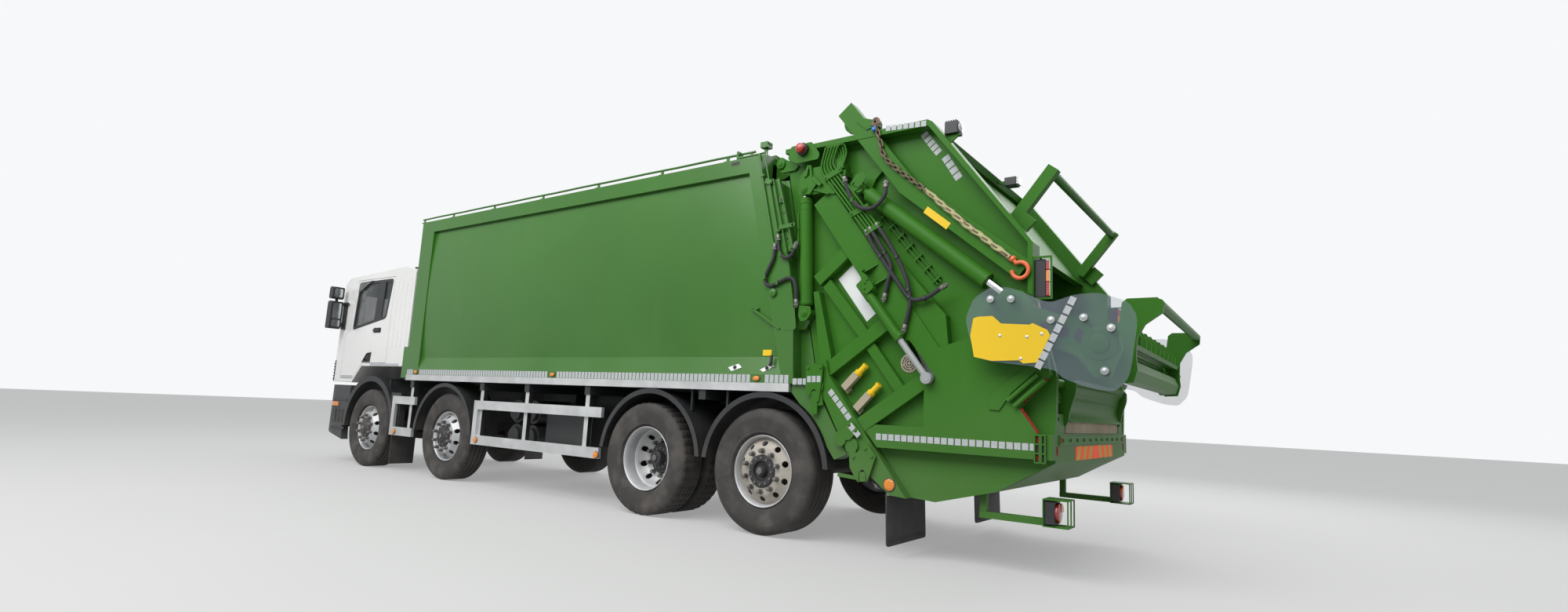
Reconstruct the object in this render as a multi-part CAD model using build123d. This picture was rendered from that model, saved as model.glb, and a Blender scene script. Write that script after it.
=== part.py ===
from build123d import *
from math import atan2, cos, degrees, hypot, radians, sin
import os

os.makedirs("parts", exist_ok=True)

# Rear loading refuse truck on a four axle chassis, right hand drive.
# Stations (x) run rearward from the first axle, y is the truck's right hand
# side, z is the height above the ground, all in millimetres. The finished
# pieces are moved so that the origin is on the ground under the middle.

# Overall stations
cab_front = -1400
cab_rear = 864
body_front = 990
bumper_front = -1450
lift_rear = 9805
mid_station = (bumper_front + lift_rear) / 2

# Wheels and axles
axle_1 = 0
axle_2 = 1940
axle_3 = 5410
bogie_spread = 1365
axle_4 = axle_3 + bogie_spread
tyre_radius = 520
rim_radius = 285
flange_radius = 298
flange_width = 14
rim_wall = 12
bead_gap = 0.3
steer_tyre_width = 312
twin_tyre_width = 284
tag_tyre_width = 380
steer_rim_width = 236
twin_rim_width = 216
tag_rim_width = 300
steer_wheel_y = 1036
twin_outer_y = 1090
twin_inner_y = 750
tag_wheel_y = 1034
hub_radius = 112
spindle_radius = 42
running_gap = 0.05
disc_wall = 14

# Steering knuckles
kingpin_y = 872
kingpin_radius = 22
eye_radius = 50
eye_height = 140
ear_height = 36
steer_arm_height = 22
knuckle_gap = 5

# Chassis
rail_outer_y = 383
rail_flange = 88
rail_wall = 9
rail_bottom = 690
rail_top = 960
rail_front = -1150
rail_rear = 7330
outrigger_top = 1180

# Cab
cab_half = 1200
cab_wall = 45
cab_corner = 360
door_gap = 6
glass_wall = 8
glass_inset = 12
door_front = -930
door_rear = 330
arch_radius = 620
arch_band = 75

# Refuse body
body_half = 1250
body_floor = 1250
body_top = 3290
body_wall = 60
load_half = body_half - 160
panel_half = body_half - 38
panel_bulge = 30
panel_low = 1470
panel_high = 3120
post_rear = 1280
recess_half = body_half - 120

# Tailgate
hinge_x = 6800
hinge_z = 3180
seam_top = (6884, 3030)
seam_knee = (7232, 1385)
seam_foot = (7610, 720)
seam_gap = 8
plate_in = load_half
plate_out = body_half - 110
frame_out = body_half - 15

# Tailgate cylinders
gate_pin_x = 7110
gate_pin_z = 2890
body_pin_x = 7170
body_pin_z = 1825
gate_ram_y = body_half - 45
gate_ram_radius = 55
gate_rod_radius = 30

# Carriage cylinders and carriage
slide_top = (7730, 2010)
slide_eye = (8278, 1309)
slide_ram_y = body_half + 25
slide_ram_radius = 38
slide_rod_radius = 24
carriage_stroke = 300
carriage_half = load_half - 15
blade_hinge = (8190, 1720)
blade_tip = (8290, 640)
blade_half = carriage_half - 30

# Bin lift
lift_pivot = (8755, 1628)
lift_lever = 260
comb_pivot = (9460, 1540)
ram_pin = (7650, 2825)
ram_y = body_half - 38
ram_radius = 62
ram_rod_radius = 32
arm_in = body_half + 40
arm_out = arm_in + 35
guard_in = arm_out + 47
guard_wall = 8


# Small helpers
def block(x0, x1, y0, y1, z0, z1):
    return Pos((x0 + x1) / 2, (y0 + y1) / 2, (z0 + z1) / 2) * Box(x1 - x0, y1 - y0, z1 - z0)


def side_face(points, y, radius=0):
    """A face in the side view at one y."""
    face = Face(Wire.make_polygon([(x, y, z) for x, z in points]))
    return face.fillet_2d(radius, face.vertices()) if radius else face


def side_plate(points, y0, y1, radius=0):
    """A plate cut to a side view outline, from y0 to y1."""
    return Solid.extrude(side_face(points, y0, radius), Vector(0, y1 - y0, 0))


def inset(points, amount):
    """The outline moved inward by an even amount."""
    around = list(zip(points[-1:] + points[:-1], points, points[1:] + points[:1]))
    turn = 1 if sum(x0 * z1 - x1 * z0 for (x0, z0), (x1, z1), _ in around) > 0 else -1
    corners = []
    for (xa, za), (xb, zb), (xc, zc) in around:
        long_1, long_2 = hypot(xb - xa, zb - za), hypot(xc - xb, zc - zb)
        n1 = (-turn * (zb - za) / long_1, turn * (xb - xa) / long_1)
        n2 = (-turn * (zc - zb) / long_2, turn * (xc - xb) / long_2)
        share = amount / (1 + n1[0] * n2[0] + n1[1] * n2[1])
        corners.append((xb + share * (n1[0] + n2[0]), zb + share * (n1[1] + n2[1])))
    return corners


def end_plate(points, x0, x1):
    face = Face(Wire.make_polygon([(x0, y, z) for y, z in points]))
    return Solid.extrude(face, Vector(x1 - x0, 0, 0))


def rod_between(start, end, radius):
    start, end = Vector(*start), Vector(*end)
    return Solid.make_cylinder(radius, (end - start).length, Plane(origin=start, z_dir=end - start))


def cross_rod(x, z, radius, y0, y1):
    return rod_between((x, y0, z), (x, y1, z), radius)


def bar(start, end, width, y0, y1):
    """A flat bar in the side view between two points."""
    (xa, za), (xb, zb) = start, end
    long = hypot(xb - xa, zb - za)
    nx, nz = -(zb - za) / long * width / 2, (xb - xa) / long * width / 2
    return side_plate([(xa + nx, za + nz), (xb + nx, zb + nz), (xb - nx, zb - nz), (xa - nx, za - nz)], y0, y1)


def join(first, *others):
    result = first
    for other in others:
        result = result + other
    return result


def other_side(shape):
    return mirror(shape, about=Plane.XZ)


def both_sides(*shapes):
    return [item for shape in shapes for item in (shape, other_side(shape))]


def along(start, end, distance):
    """The point at a distance from start towards end, in the side view."""
    long = hypot(end[0] - start[0], end[1] - start[1])
    return (start[0] + (end[0] - start[0]) * distance / long, start[1] + (end[1] - start[1]) * distance / long)


def save(name, *shapes):
    solids = [solid for shape in shapes for solid in shape.solids()]
    moved = [Pos(-mid_station, 0, 0) * solid for solid in solids]
    export_step(Compound(moved) if len(moved) > 1 else moved[0], f"parts/{name}.step")


def turned(profile, station, y):
    """A ring turned about a wheel's axis from (radius, offset) points, offset outward from y."""
    outward = 1 if y > 0 else -1
    points = [(station + r, y + outward * o, tyre_radius) for r, o in profile]
    face = Face(Wire.make_polygon(points))
    return Solid.revolve(face, 360, Axis((station, 0, tyre_radius), (0, 1, 0)))


# Wheels
def tyre(station, y, width, rim_width):
    bead = rim_width / 2 - flange_width - 1
    half = [(rim_radius + bead_gap, bead), (flange_radius + 8, bead), (tyre_radius * 0.72, width * 0.48),
            (tyre_radius * 0.86, width * 0.5), (tyre_radius * 0.955, width * 0.455), (tyre_radius, width * 0.37)]
    profile = half + [(r, -o) for r, o in reversed(half)]
    return turned(profile, station, y)


def rim(station, y, rim_width, disc):
    """A drop centre rim whose disc follows (radius, offset) points from the barrel to the hub."""
    edge = rim_width / 2
    inner = rim_radius - rim_wall
    first = disc[0][1]
    face_side = [(inner, first)] + disc
    back_side = [(r, o - disc_wall) for r, o in reversed(disc)] + [(inner, first - disc_wall)]
    profile = [(flange_radius, -edge), (flange_radius, -edge + flange_width), (rim_radius, -edge + flange_width),
               (rim_radius, edge - flange_width), (flange_radius, edge - flange_width), (flange_radius, edge),
               (inner, edge)] + face_side + back_side + [(inner, -edge)]
    return turned(profile, station, y)


def hub(station, y, face_offset, inner_offset, cap_radius, cap_length):
    bore = spindle_radius + running_gap
    profile = [(bore, inner_offset), (hub_radius, inner_offset), (hub_radius, face_offset),
               (cap_radius, face_offset), (cap_radius, face_offset + cap_length), (0, face_offset + cap_length),
               (0, face_offset - 20), (bore, face_offset - 20)]
    return turned(profile, station, y)


steer_disc = [(262, 66), (228, 112), (196, 152), (hub_radius, 152)]
twin_disc = [(262, -30), (215, -112), (175, -128), (hub_radius, -128)]
tag_disc = [(262, 92), (228, 124), (196, 150), (hub_radius, 150)]

# station, y, tyre width, rim width, disc, hub face offset, hub inner offset, cap radius, cap length
single_wheels = {
    "wheel_1": (axle_1, steer_wheel_y, steer_tyre_width, steer_rim_width, steer_disc, 138, -62, 62, 32),
    "wheel_2": (axle_2, steer_wheel_y, steer_tyre_width, steer_rim_width, steer_disc, 138, -62, 62, 32),
    "wheel_4": (axle_4, tag_wheel_y, tag_tyre_width, tag_rim_width, tag_disc, 136, -62, 84, 50),
}
for name, (station, y, width, rim_width, disc, face, inner, cap, cap_long) in single_wheels.items():
    for side, sign in (("left", -1), ("right", 1)):
        save(f"tyre_{name[-1]}_{side}", tyre(station, sign * y, width, rim_width))
        save(f"{name}_{side}", join(rim(station, sign * y, rim_width, disc),
                                    hub(station, sign * y, face, inner, cap, cap_long)))

twin_hub_face = twin_inner_y - twin_outer_y + 128 + disc_wall
for side, sign in (("left", -1), ("right", 1)):
    tyres = [tyre(axle_3, sign * y, twin_tyre_width, twin_rim_width) for y in (twin_outer_y, twin_inner_y)]
    inner_disc = [(r, -o) for r, o in twin_disc]
    outer_rim = rim(axle_3, sign * twin_outer_y, twin_rim_width, twin_disc)
    middle = (twin_outer_y - 128 - disc_wall + twin_inner_y + 128) / 2
    inner_rim = rim(axle_3, sign * twin_inner_y, twin_rim_width, [(r, o + disc_wall) for r, o in inner_disc])
    drum = hub(axle_3, sign * middle, 60, -110, 66, 70)
    save(f"tyre_3_{side}", *tyres)
    save(f"wheel_3_{side}", join(outer_rim, drum), inner_rim)


# Steered axles
def steered_beam(station):
    low, drop, thick = tyre_radius - 60, 90, 92
    outline = [(-kingpin_y, low + 10), (-620, low - drop + 20), (-420, low - drop), (420, low - drop),
               (620, low - drop + 20), (kingpin_y, low + 10), (kingpin_y, low + 110), (600, low + 20),
               (400, low), (-400, low), (-600, low + 20), (-kingpin_y, low + 110)]
    beam = end_plate(outline, station - thick / 2, station + thick / 2)
    low_eye, high_eye = tyre_radius - eye_height / 2, tyre_radius + eye_height / 2
    for sign in (-1, 1):
        eye = rod_between((station, sign * kingpin_y, low_eye), (station, sign * kingpin_y, high_eye), eye_radius)
        bore = rod_between((station, sign * kingpin_y, low_eye - 1), (station, sign * kingpin_y, high_eye + 1),
                           kingpin_radius + running_gap)
        clear = rod_between((station, sign * kingpin_y, low_eye - 60), (station, sign * kingpin_y, low_eye), eye_radius + 12)
        beam = join(beam, eye) - bore - clear
    return beam


def knuckle(station, sign):
    low_eye, high_eye = tyre_radius - eye_height / 2, tyre_radius + eye_height / 2
    y = sign * kingpin_y
    web_in = kingpin_y + eye_radius + knuckle_gap
    web_out = web_in + 30
    low, high = low_eye - knuckle_gap - ear_height, high_eye + knuckle_gap + ear_height
    y0, y1 = sorted((sign * web_in, sign * web_out))
    web = block(station - 46, station + 46, y0, y1, low, high)
    pieces = [web]
    for z0, z1 in ((low, low + ear_height), (high - ear_height, high)):
        pieces.append(rod_between((station, y, z0), (station, y, z1), eye_radius - 2))
        a, b = sorted((y, sign * web_out))
        pieces.append(block(station - 40, station + 40, a, b, z0, z1))
    pieces.append(rod_between((station, y, low), (station, y, high), kingpin_radius))
    pieces.append(cross_rod(station, tyre_radius, spindle_radius, sign * (web_out - 5), sign * (steer_wheel_y + 100)))
    a, b = sorted((sign * (kingpin_y - 60), sign * (kingpin_y + 10)))
    pieces.append(block(station, station + 190, a, b, low, low + steer_arm_height))
    return join(*pieces)


# leaf springs, two per steered axle
spring_in, spring_out, spring_half = 394, 466, 780
spring_seat = tyre_radius - 60


def leaf_spring(station, sign):
    y0, y1 = sorted((sign * spring_in, sign * spring_out))
    low, high, thick = spring_seat, rail_bottom - 70, 46
    edge = ThreePointArc((station - spring_half, y0, high), (station, y0, low), (station + spring_half, y0, high))
    top = ThreePointArc((station + spring_half, y0, high + thick), (station, y0, low + thick),
                        (station - spring_half, y0, high + thick))
    ends = [Line(edge @ 1, top @ 0), Line(top @ 1, edge @ 0)]
    leaf = Solid.extrude(Face(Wire([*edge.edges(), *ends[0].edges(), *top.edges(), *ends[1].edges()])),
                         Vector(0, y1 - y0, 0))
    hangers = []
    h0, h1 = sorted((sign * rail_outer_y, sign * spring_out))
    for end in (-1, 1):
        centre = station + end * (spring_half - 30)
        hangers.append(block(centre - 45, centre + 45, h0, h1, high + 10, rail_bottom + 120))
    return join(leaf, *hangers)


steered_axles = []
for number, station in ((1, axle_1), (2, axle_2)):
    steered_axles.append(join(steered_beam(station), leaf_spring(station, -1), leaf_spring(station, 1)))
    for side, sign in (("left", -1), ("right", 1)):
        save(f"knuckle_{number}_{side}", knuckle(station, sign))
save("steered_axles", *steered_axles)


# Driven and trailing axles with their air springs
def rear_axle(station, spindle_end, bulge):
    tube = cross_rod(station, tyre_radius, 66, -560, 560)
    shaft = cross_rod(station, tyre_radius, spindle_radius, -spindle_end, spindle_end)
    pieces = [tube, shaft]
    if bulge:
        pieces.append(cross_rod(station, tyre_radius, bulge, -150, 150))
    return join(*pieces)


bellows_radius = 98


def air_suspension(station):
    pieces = []
    arm_y0, arm_y1 = rail_outer_y + 8, rail_outer_y + 78
    bellows_y = rail_outer_y + bellows_radius + 6
    for sign in (-1, 1):
        y0, y1 = sorted((sign * arm_y0, sign * arm_y1))
        arm = side_plate([(station - 560, 690), (station - 560, 600), (station - 60, 575), (station + 330, 590),
                          (station + 330, 640), (station - 60, 660)], y0, y1)
        b0, b1 = sorted((sign * rail_outer_y, sign * arm_y1))
        hanger = block(station - 600, station - 500, b0, b1, 640, 880)
        bellows = rod_between((station + 230, sign * bellows_y, 635), (station + 230, sign * bellows_y, 800), bellows_radius)
        t0, t1 = sorted((sign * rail_outer_y, sign * (bellows_y + 60)))
        top = block(station + 140, station + 320, t0, t1, 800, 840)
        pieces += [arm, hanger, bellows, top]
    return pieces


driven_axle = rear_axle(axle_3, twin_outer_y - 50 - 120, 215)
trailing_axle = rear_axle(axle_4, tag_wheel_y + 100, 0)


# Chassis frame
def chassis():
    y1, y0 = rail_outer_y, rail_outer_y - rail_flange
    section = [(y1, rail_bottom), (y1, rail_top), (y0, rail_top), (y0, rail_top - rail_wall),
               (y1 - rail_wall, rail_top - rail_wall), (y1 - rail_wall, rail_bottom + rail_wall),
               (y0, rail_bottom + rail_wall), (y0, rail_bottom)]
    rail = end_plate(section, rail_front, rail_rear)
    frame = [rail, other_side(rail)]
    inner = rail_outer_y - rail_wall
    for station in (rail_front + 40, axle_2 + 810, axle_3 - 1110, axle_3 + 670, rail_rear - 60):
        frame.append(block(station - 35, station + 35, -inner, inner, rail_bottom + 100, rail_top - 30))
    return join(*frame)


outriggers_at = (axle_2 - 790, axle_2 + 760, axle_3 - 1860, axle_3 - 860, axle_3 + 690)


def subframe():
    rail_y0, rail_y1 = rail_outer_y - 75, rail_outer_y
    rails = both_sides(block(1100, rail_rear - 150, rail_y0, rail_y1, rail_top, body_floor))
    outriggers = [block(station - 40, station + 40, -body_half + 20, body_half - 20, outrigger_top - 90, outrigger_top)
                  for station in outriggers_at]
    return join(*rails, *outriggers)


def cab_bridge():
    """Posts, beam and pads that carry the rear of the cab."""
    post_in, floor = rail_outer_y - 80, 1360
    posts = both_sides(block(740, 820, post_in, rail_outer_y, rail_top, floor - 30))
    pads = both_sides(block(750, 810, post_in, rail_outer_y, floor - 30, floor - 0.3))
    return join(*posts, block(740, 820, -post_in, post_in, floor - 90, floor - 30), *pads)


save("chassis_frame", join(chassis(), subframe(), cab_bridge()))

engine = block(-430, 700, -280, 280, 620, 1215)
gearbox = block(700, 1330, -190, 190, 560, 960)
save("engine_block", join(engine, gearbox))
shaft_front, shaft_rear = (1330, 0, 750), (axle_3 - 200, 0, 570)
propshaft = rod_between(shaft_front, shaft_rear, 58) - gearbox
save("rear_axles", join(driven_axle, propshaft, *air_suspension(axle_3)), join(trailing_axle, *air_suspension(axle_4)))


# Bumper, steps and arches
def plan_outline(front, rear, half, corner, shrink=0):
    f, h, c = front + shrink, half - shrink, max(corner - shrink, 5)
    edge_1 = Line((rear, -h, 0), (f + c, -h, 0))
    arc_1 = ThreePointArc((f + c, -h, 0), (f + c - c * sin(radians(45)), -h + c - c * cos(radians(45)), 0),
                          (f, -h + c, 0))
    edge_2 = Line((f, -h + c, 0), (f, h - c, 0))
    arc_2 = ThreePointArc((f, h - c, 0), (f + c - c * sin(radians(45)), h - c + c * cos(radians(45)), 0),
                          (f + c, h, 0))
    edge_3 = Line((f + c, h, 0), (rear, h, 0))
    edge_4 = Line((rear, h, 0), (rear, -h, 0))
    pieces = [edge for item in (edge_1, arc_1, edge_2, arc_2, edge_3, edge_4) for edge in item.edges()]
    return Face(Wire(pieces))


def plan_solid(front, rear, half, corner, z0, z1, shrink=0):
    return Pos(0, 0, z0) * Solid.extrude(plan_outline(front, rear, half, corner, shrink), Vector(0, 0, z1 - z0))


arch_centre = (axle_1 + 15, tyre_radius + 10)
bumper_low = 300
bumper_high = 1085
bumper_rear = -560
bumper_wall = 90
bumper_corner = 480
lamp_low, lamp_high = 620, 800
lamp_in, lamp_out = 760, 1110
lamp_reach = 290


tilt_pin = (cab_front + 15, 1113)
tilt_pin_radius = 8
tilt_lug_in, tilt_lug_out = 344, 376


def tilt_bracket():
    """Two plates and the pin that the cab's lug tilts on, standing on a bumper stay."""
    (px, pz) = tilt_pin
    outline = [(bumper_front + 150, 890), (bumper_front + 290, 890), (bumper_front + 230, pz - 25), (px + 40, pz + 11),
               (px - 13, pz + 11), (px - 13, pz - 13), (px + 40, pz - 13), (bumper_front + 150, pz - 50)]
    plates = [side_plate(outline, y0, y0 + 18) for y0 in (tilt_lug_in - 24, tilt_lug_out + 6)]
    return join(*plates, cross_rod(px, pz, tilt_pin_radius, tilt_lug_in - 20, tilt_lug_out + 20),
                block(bumper_front + 150, bumper_front + 290, tilt_lug_in - 24, tilt_lug_out + 24, 890, 900))


def tilt_lug():
    (px, pz) = tilt_pin
    lug = join(cross_rod(px, pz, 13, tilt_lug_in, tilt_lug_out), block(px - 13, px + 13, tilt_lug_in, tilt_lug_out, pz, 1131))
    return lug - cross_rod(px, pz, tilt_pin_radius + running_gap, tilt_lug_in - 5, tilt_lug_out + 5)


def bumper():
    outer = plan_solid(bumper_front, bumper_rear, cab_half, bumper_corner, bumper_low, bumper_high)
    inner = plan_solid(bumper_front, bumper_rear + 10, cab_half, bumper_corner, bumper_low - 5, bumper_high + 5,
                       bumper_wall)
    shape = outer - inner
    chin = side_plate([(bumper_front - 20, bumper_low - 10), (bumper_rear + 5, bumper_low - 10),
                       (bumper_rear + 5, bumper_low + 5), (bumper_front - 20, bumper_low + 190)],
                      -cab_half - 20, cab_half + 20)
    shape = shape - chin - cross_rod(*arch_centre, arch_radius + arch_band + 0.3, -cab_half - 50, cab_half + 50)
    for sign in (-1, 1):
        y0, y1 = sorted((sign * lamp_in, sign * lamp_out))
        shape = shape - block(bumper_front - 40, bumper_front + lamp_reach, y0, y1, lamp_low, lamp_high)
    cross = block(bumper_front + bumper_wall - 10, bumper_front + bumper_wall + 60, 20 - lamp_in, lamp_in - 20, 500, 700)
    stays = [block(bumper_front + bumper_wall + 60, rail_front, y0, y1, 720, 900)
             for y0, y1 in ((-rail_outer_y, -rail_outer_y + 80), (rail_outer_y - 80, rail_outer_y))]
    ties = [block(bumper_front + bumper_wall - 10, bumper_front + bumper_wall + 60, y0, y1, 690, 900)
            for y0, y1 in ((-rail_outer_y, -rail_outer_y + 80), (rail_outer_y - 80, rail_outer_y))]
    return join(shape, cross, *stays, *ties, *both_sides(tilt_bracket()))


def headlamp(sign):
    y0, y1 = sorted((sign * (lamp_in + 0.3), sign * (lamp_out - 0.3)))
    front = plan_solid(bumper_front, bumper_rear, cab_half, bumper_corner, lamp_low + 0.3, lamp_high - 0.3, 6)
    return front & block(bumper_front - 40, bumper_front + lamp_reach - 5, y0, y1, lamp_low, lamp_high)


save("front_bumper", bumper())
save("headlamps", headlamp(-1), headlamp(1))


def ring_sector(station, centre_z, r_in, r_out, y0, y1, cut_z, rear_cut=None):
    """A half round guard about a wheel, open below cut_z."""
    ring = cross_rod(station, centre_z, r_out, y0, y1) - cross_rod(station, centre_z, r_in, y0 - 1, y1 + 1)
    ring = ring & block(station - r_out - 5, station + r_out + 5, y0, y1, cut_z, centre_z + r_out + 5)
    return ring


guard_wall_mud = 22
# station, inner radius, inner y, outer y, lower cut
mudguards = [
    (axle_2 + 5, 606, 880, body_half - 10, 560),
    (axle_3 + 60, 622, 610, body_half - 5, 590),
    (axle_4 + 30, 622, 640, body_half - 5, 590),
]


def mudguard(station, radius, y_in, y_out, cut):
    band = ring_sector(station, tyre_radius, radius, radius + guard_wall_mud, y_in, y_out, cut)
    lip = ring_sector(station, tyre_radius, radius - 14, radius + guard_wall_mud + 10, y_out, y_out + 6, cut)
    stay = cross_rod(station, tyre_radius + radius + guard_wall_mud / 2, guard_wall_mud / 2 - 1, rail_outer_y, y_in + 10)
    return join(band, lip, stay)


def cab_arch():
    """The trim round the front wheel with its liner."""
    trim_in = cab_half - 80
    band = ring_sector(*arch_centre, arch_radius, arch_radius + arch_band, trim_in, cab_half + 5, 520)
    liner = ring_sector(*arch_centre, arch_radius + 30, arch_radius + 52, 660, trim_in + 5, 620)
    tail = side_plate([(660, 560), (850, 560), (850, 1010), (600, 1010)], trim_in, cab_half)
    tail = tail - cross_rod(*arch_centre, arch_radius + 40, trim_in - 20, cab_half + 20)
    flap = block(706, 716, cab_half - 330, cab_half - 10, 90, 575)
    bracket = block(700, 740, cab_half - 380, cab_half - 10, 565, 660)
    stays = [cross_rod(arch_centre[0] + side * 661 * cos(radians(20)), arch_centre[1] + 661 * sin(radians(20)), 10,
                       rail_outer_y, 700) for side in (-1, 1)]
    return join(band, liner, tail, bracket, flap, *stays)


guards = [piece for row in mudguards for piece in both_sides(mudguard(*row))]
save("mudguards", *guards, *both_sides(cab_arch()))

# Cab
cab_profile = [(cab_front, 1130), (cab_front - 15, 1720), (cab_front + 275, 2560), (cab_front + 420, 2650),
               (560, 2720), (cab_rear, 2640), (cab_rear, 1360), (-330, 1360), (-560, 1130)]


def cab_solid(shrink=0):
    side = side_plate(inset(cab_profile, shrink), -cab_half - 50, cab_half + 50)
    plan = plan_solid(cab_front - 15, cab_rear, cab_half, cab_corner, 1000, 2800, shrink)
    plan_cut = plan & block(cab_front - 50, cab_rear - shrink, -cab_half, cab_half, 1000, 2800)
    return side & plan_cut


door_outline = [(door_front, 1180), (door_front, 1815), (-800, 1880), (-735, 2600), (door_rear, 2600),
                (door_rear, 1400), (-320, 1400), (-540, 1180)]
door_window = [(-700, 1905), (-650, 2545), (262, 2545), (180, 2040)]
screen_low, screen_high, screen_half = 1765, 2520, 1010


def door_space(shrink):
    return side_plate(inset(door_outline, shrink), cab_half - cab_wall - 30, cab_half + 30)


def window_space(shrink):
    return side_plate(inset(door_window, shrink), cab_half - cab_wall - 30, cab_half + 30, 40 - shrink)


def screen_space(shrink):
    return block(cab_front - 60, -900, -screen_half + shrink, screen_half - shrink, screen_low + shrink,
                 screen_high - shrink)


outer, inner = cab_solid(), cab_solid(cab_wall)
cab_hollow = outer - inner


def cab_shell():
    shell = cab_hollow
    for cut in (door_space(0), other_side(door_space(0)), screen_space(0)):
        shell = shell - cut
    grille_cut = block(cab_front - 60, cab_front + 20, -880, 880, 1190, 1650)
    return join(shell - grille_cut, *both_sides(tilt_lug()))


def cab_door():
    return (cab_hollow & door_space(door_gap)) - window_space(0)


def door_glass():
    sheet = block(-760, 330, cab_half - glass_inset - glass_wall, cab_half - glass_inset, 1850, 2600)
    return sheet & window_space(0.3)


def windscreen():
    return (cab_solid(glass_inset) - cab_solid(glass_inset + glass_wall)) & screen_space(0.3)


def grille():
    """Slats behind a frame in the opening of the cab's front."""
    frame = block(cab_front - 8, cab_front + 19.7, -879.7, 879.7, 1190.3, 1649.7)
    rows, gap = 5, 16
    height = (1649.7 - 1190.3 - 40) / rows
    for row in range(rows):
        low = 1190.3 + 20 + row * height + gap / 2
        frame = frame - block(cab_front - 20, cab_front + 6, -850, 850, low, low + height - gap)
    return frame


save("cab_shell", cab_shell())
for side, turn in (("left", True), ("right", False)):
    door, glass = cab_door(), door_glass()
    save(f"door_{side}", other_side(door) if turn else door)
    save(f"door_glass_{side}", other_side(glass) if turn else glass)
save("windscreen", windscreen())
save("grille", grille())


def visor():
    """Tinted board ahead of the screen's head on three stays."""
    sheet = side_plate([(-1252, 2455), (-1190, 2590), (-1170, 2590), (-1232, 2455)], -840, 840)
    stays = [side_plate([(-1200, 2545), (-1185, 2580), (-1080, 2580), (-1080, 2545)], y - 15, y + 15) - cab_solid()
             for y in (-700, 0, 700)]
    return join(sheet, *stays)


def cab_inside():
    floor_in = 1360 + cab_wall
    dash = side_plate([(cab_front, 1500), (cab_front, 1740), (-1060, 1780), (-900, 1700), (-940, 1480)],
                      -cab_half, cab_half) & cab_solid(cab_wall + 0.3)
    dash = dash - block(-1400, -600, cab_half - cab_wall - 60, cab_half, 1400, 1900)
    dash = dash - block(-1400, -600, -cab_half, -cab_half + cab_wall + 60, 1400, 1900)
    seats = []
    for y in (-520, 520):
        base = block(-560, -160, y - 180, y + 180, floor_in, 1600)
        cushion = side_plate([(-640, 1600), (-640, 1710), (-100, 1690), (-100, 1600)], y - 240, y + 240)
        back = side_plate([(-180, 1690), (-40, 1690), (80, 2420), (-20, 2420)], y - 230, y + 230)
        seats.append(join(base, cushion, back))
    return dash, seats


def steering_wheel():
    centre, lean = Vector(-820, 520, 1830), Vector(0.45, 0, 1).normalized()
    plane = Plane(origin=centre, z_dir=lean)
    ring = Solid.make_torus(225, 14, plane)
    boss = Solid.make_cylinder(45, 50, Plane(origin=centre - lean * 40, z_dir=lean))
    spoke_a = plane * Box(440, 40, 16)
    column = Solid.make_cylinder(32, 300, Plane(origin=centre - lean * 330, z_dir=lean))
    return join(ring, boss, spoke_a, column)


dash, seats = cab_inside()
save("dashboard", join(dash, steering_wheel()))
save("seats", *seats)
save("sun_visor", visor())


def mirror_set():
    """Wide angle mirror over a tall main mirror, on a foot ahead of the door."""
    in_y, out_y = cab_half + 65, cab_half + 225
    main = block(-1095, -975, in_y, out_y, 1890, 2290)
    wide = block(-1088, -982, in_y, out_y, 2325, 2500)
    link = block(-1050, -1020, in_y + 60, in_y + 90, 2280, 2335)
    upper = block(-1075, -985, cab_half, in_y + 10, 2235, 2275)
    lower = block(-1075, -985, cab_half, in_y + 10, 1925, 1985)
    foot = block(-1060, -960, cab_half, cab_half + 25, 1890, 2290)
    edges = [fillet(piece.edges().filter_by(Axis.Y), 35) for piece in (main, wide)]
    return join(*edges, link, upper, lower, foot)


save("mirrors", *both_sides(mirror_set()))


# Refuse body
def body_section():
    """Half of the cross section, then mirrored into a whole face."""
    low_edge = [Line((0, 0, body_floor), (0, body_half, body_floor)),
                Line((0, body_half, body_floor), (0, body_half, 1320)),
                Line((0, body_half, 1320), (0, panel_half, panel_low))]
    mid = (panel_low + panel_high) / 2
    panel = ThreePointArc((0, panel_half, panel_low), (0, panel_half + panel_bulge, mid), (0, panel_half, panel_high))
    high_edge = [Line((0, panel_half, panel_high), (0, body_half, panel_high)),
                 Line((0, body_half, panel_high), (0, body_half, body_top - 20)),
                 Line((0, body_half, body_top - 20), (0, body_half - 60, body_top)),
                 Line((0, body_half - 60, body_top), (0, 0, body_top)),
                 Line((0, 0, body_top), (0, 0, body_floor))]
    edges = [edge for item in (*low_edge, panel, *high_edge) for edge in item.edges()]
    return Face(Wire(edges))


def seam(shift):
    """The line between body and tailgate, moved by shift along x."""
    return [(x + shift, z) for x, z in (seam_top, seam_knee)]


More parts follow.
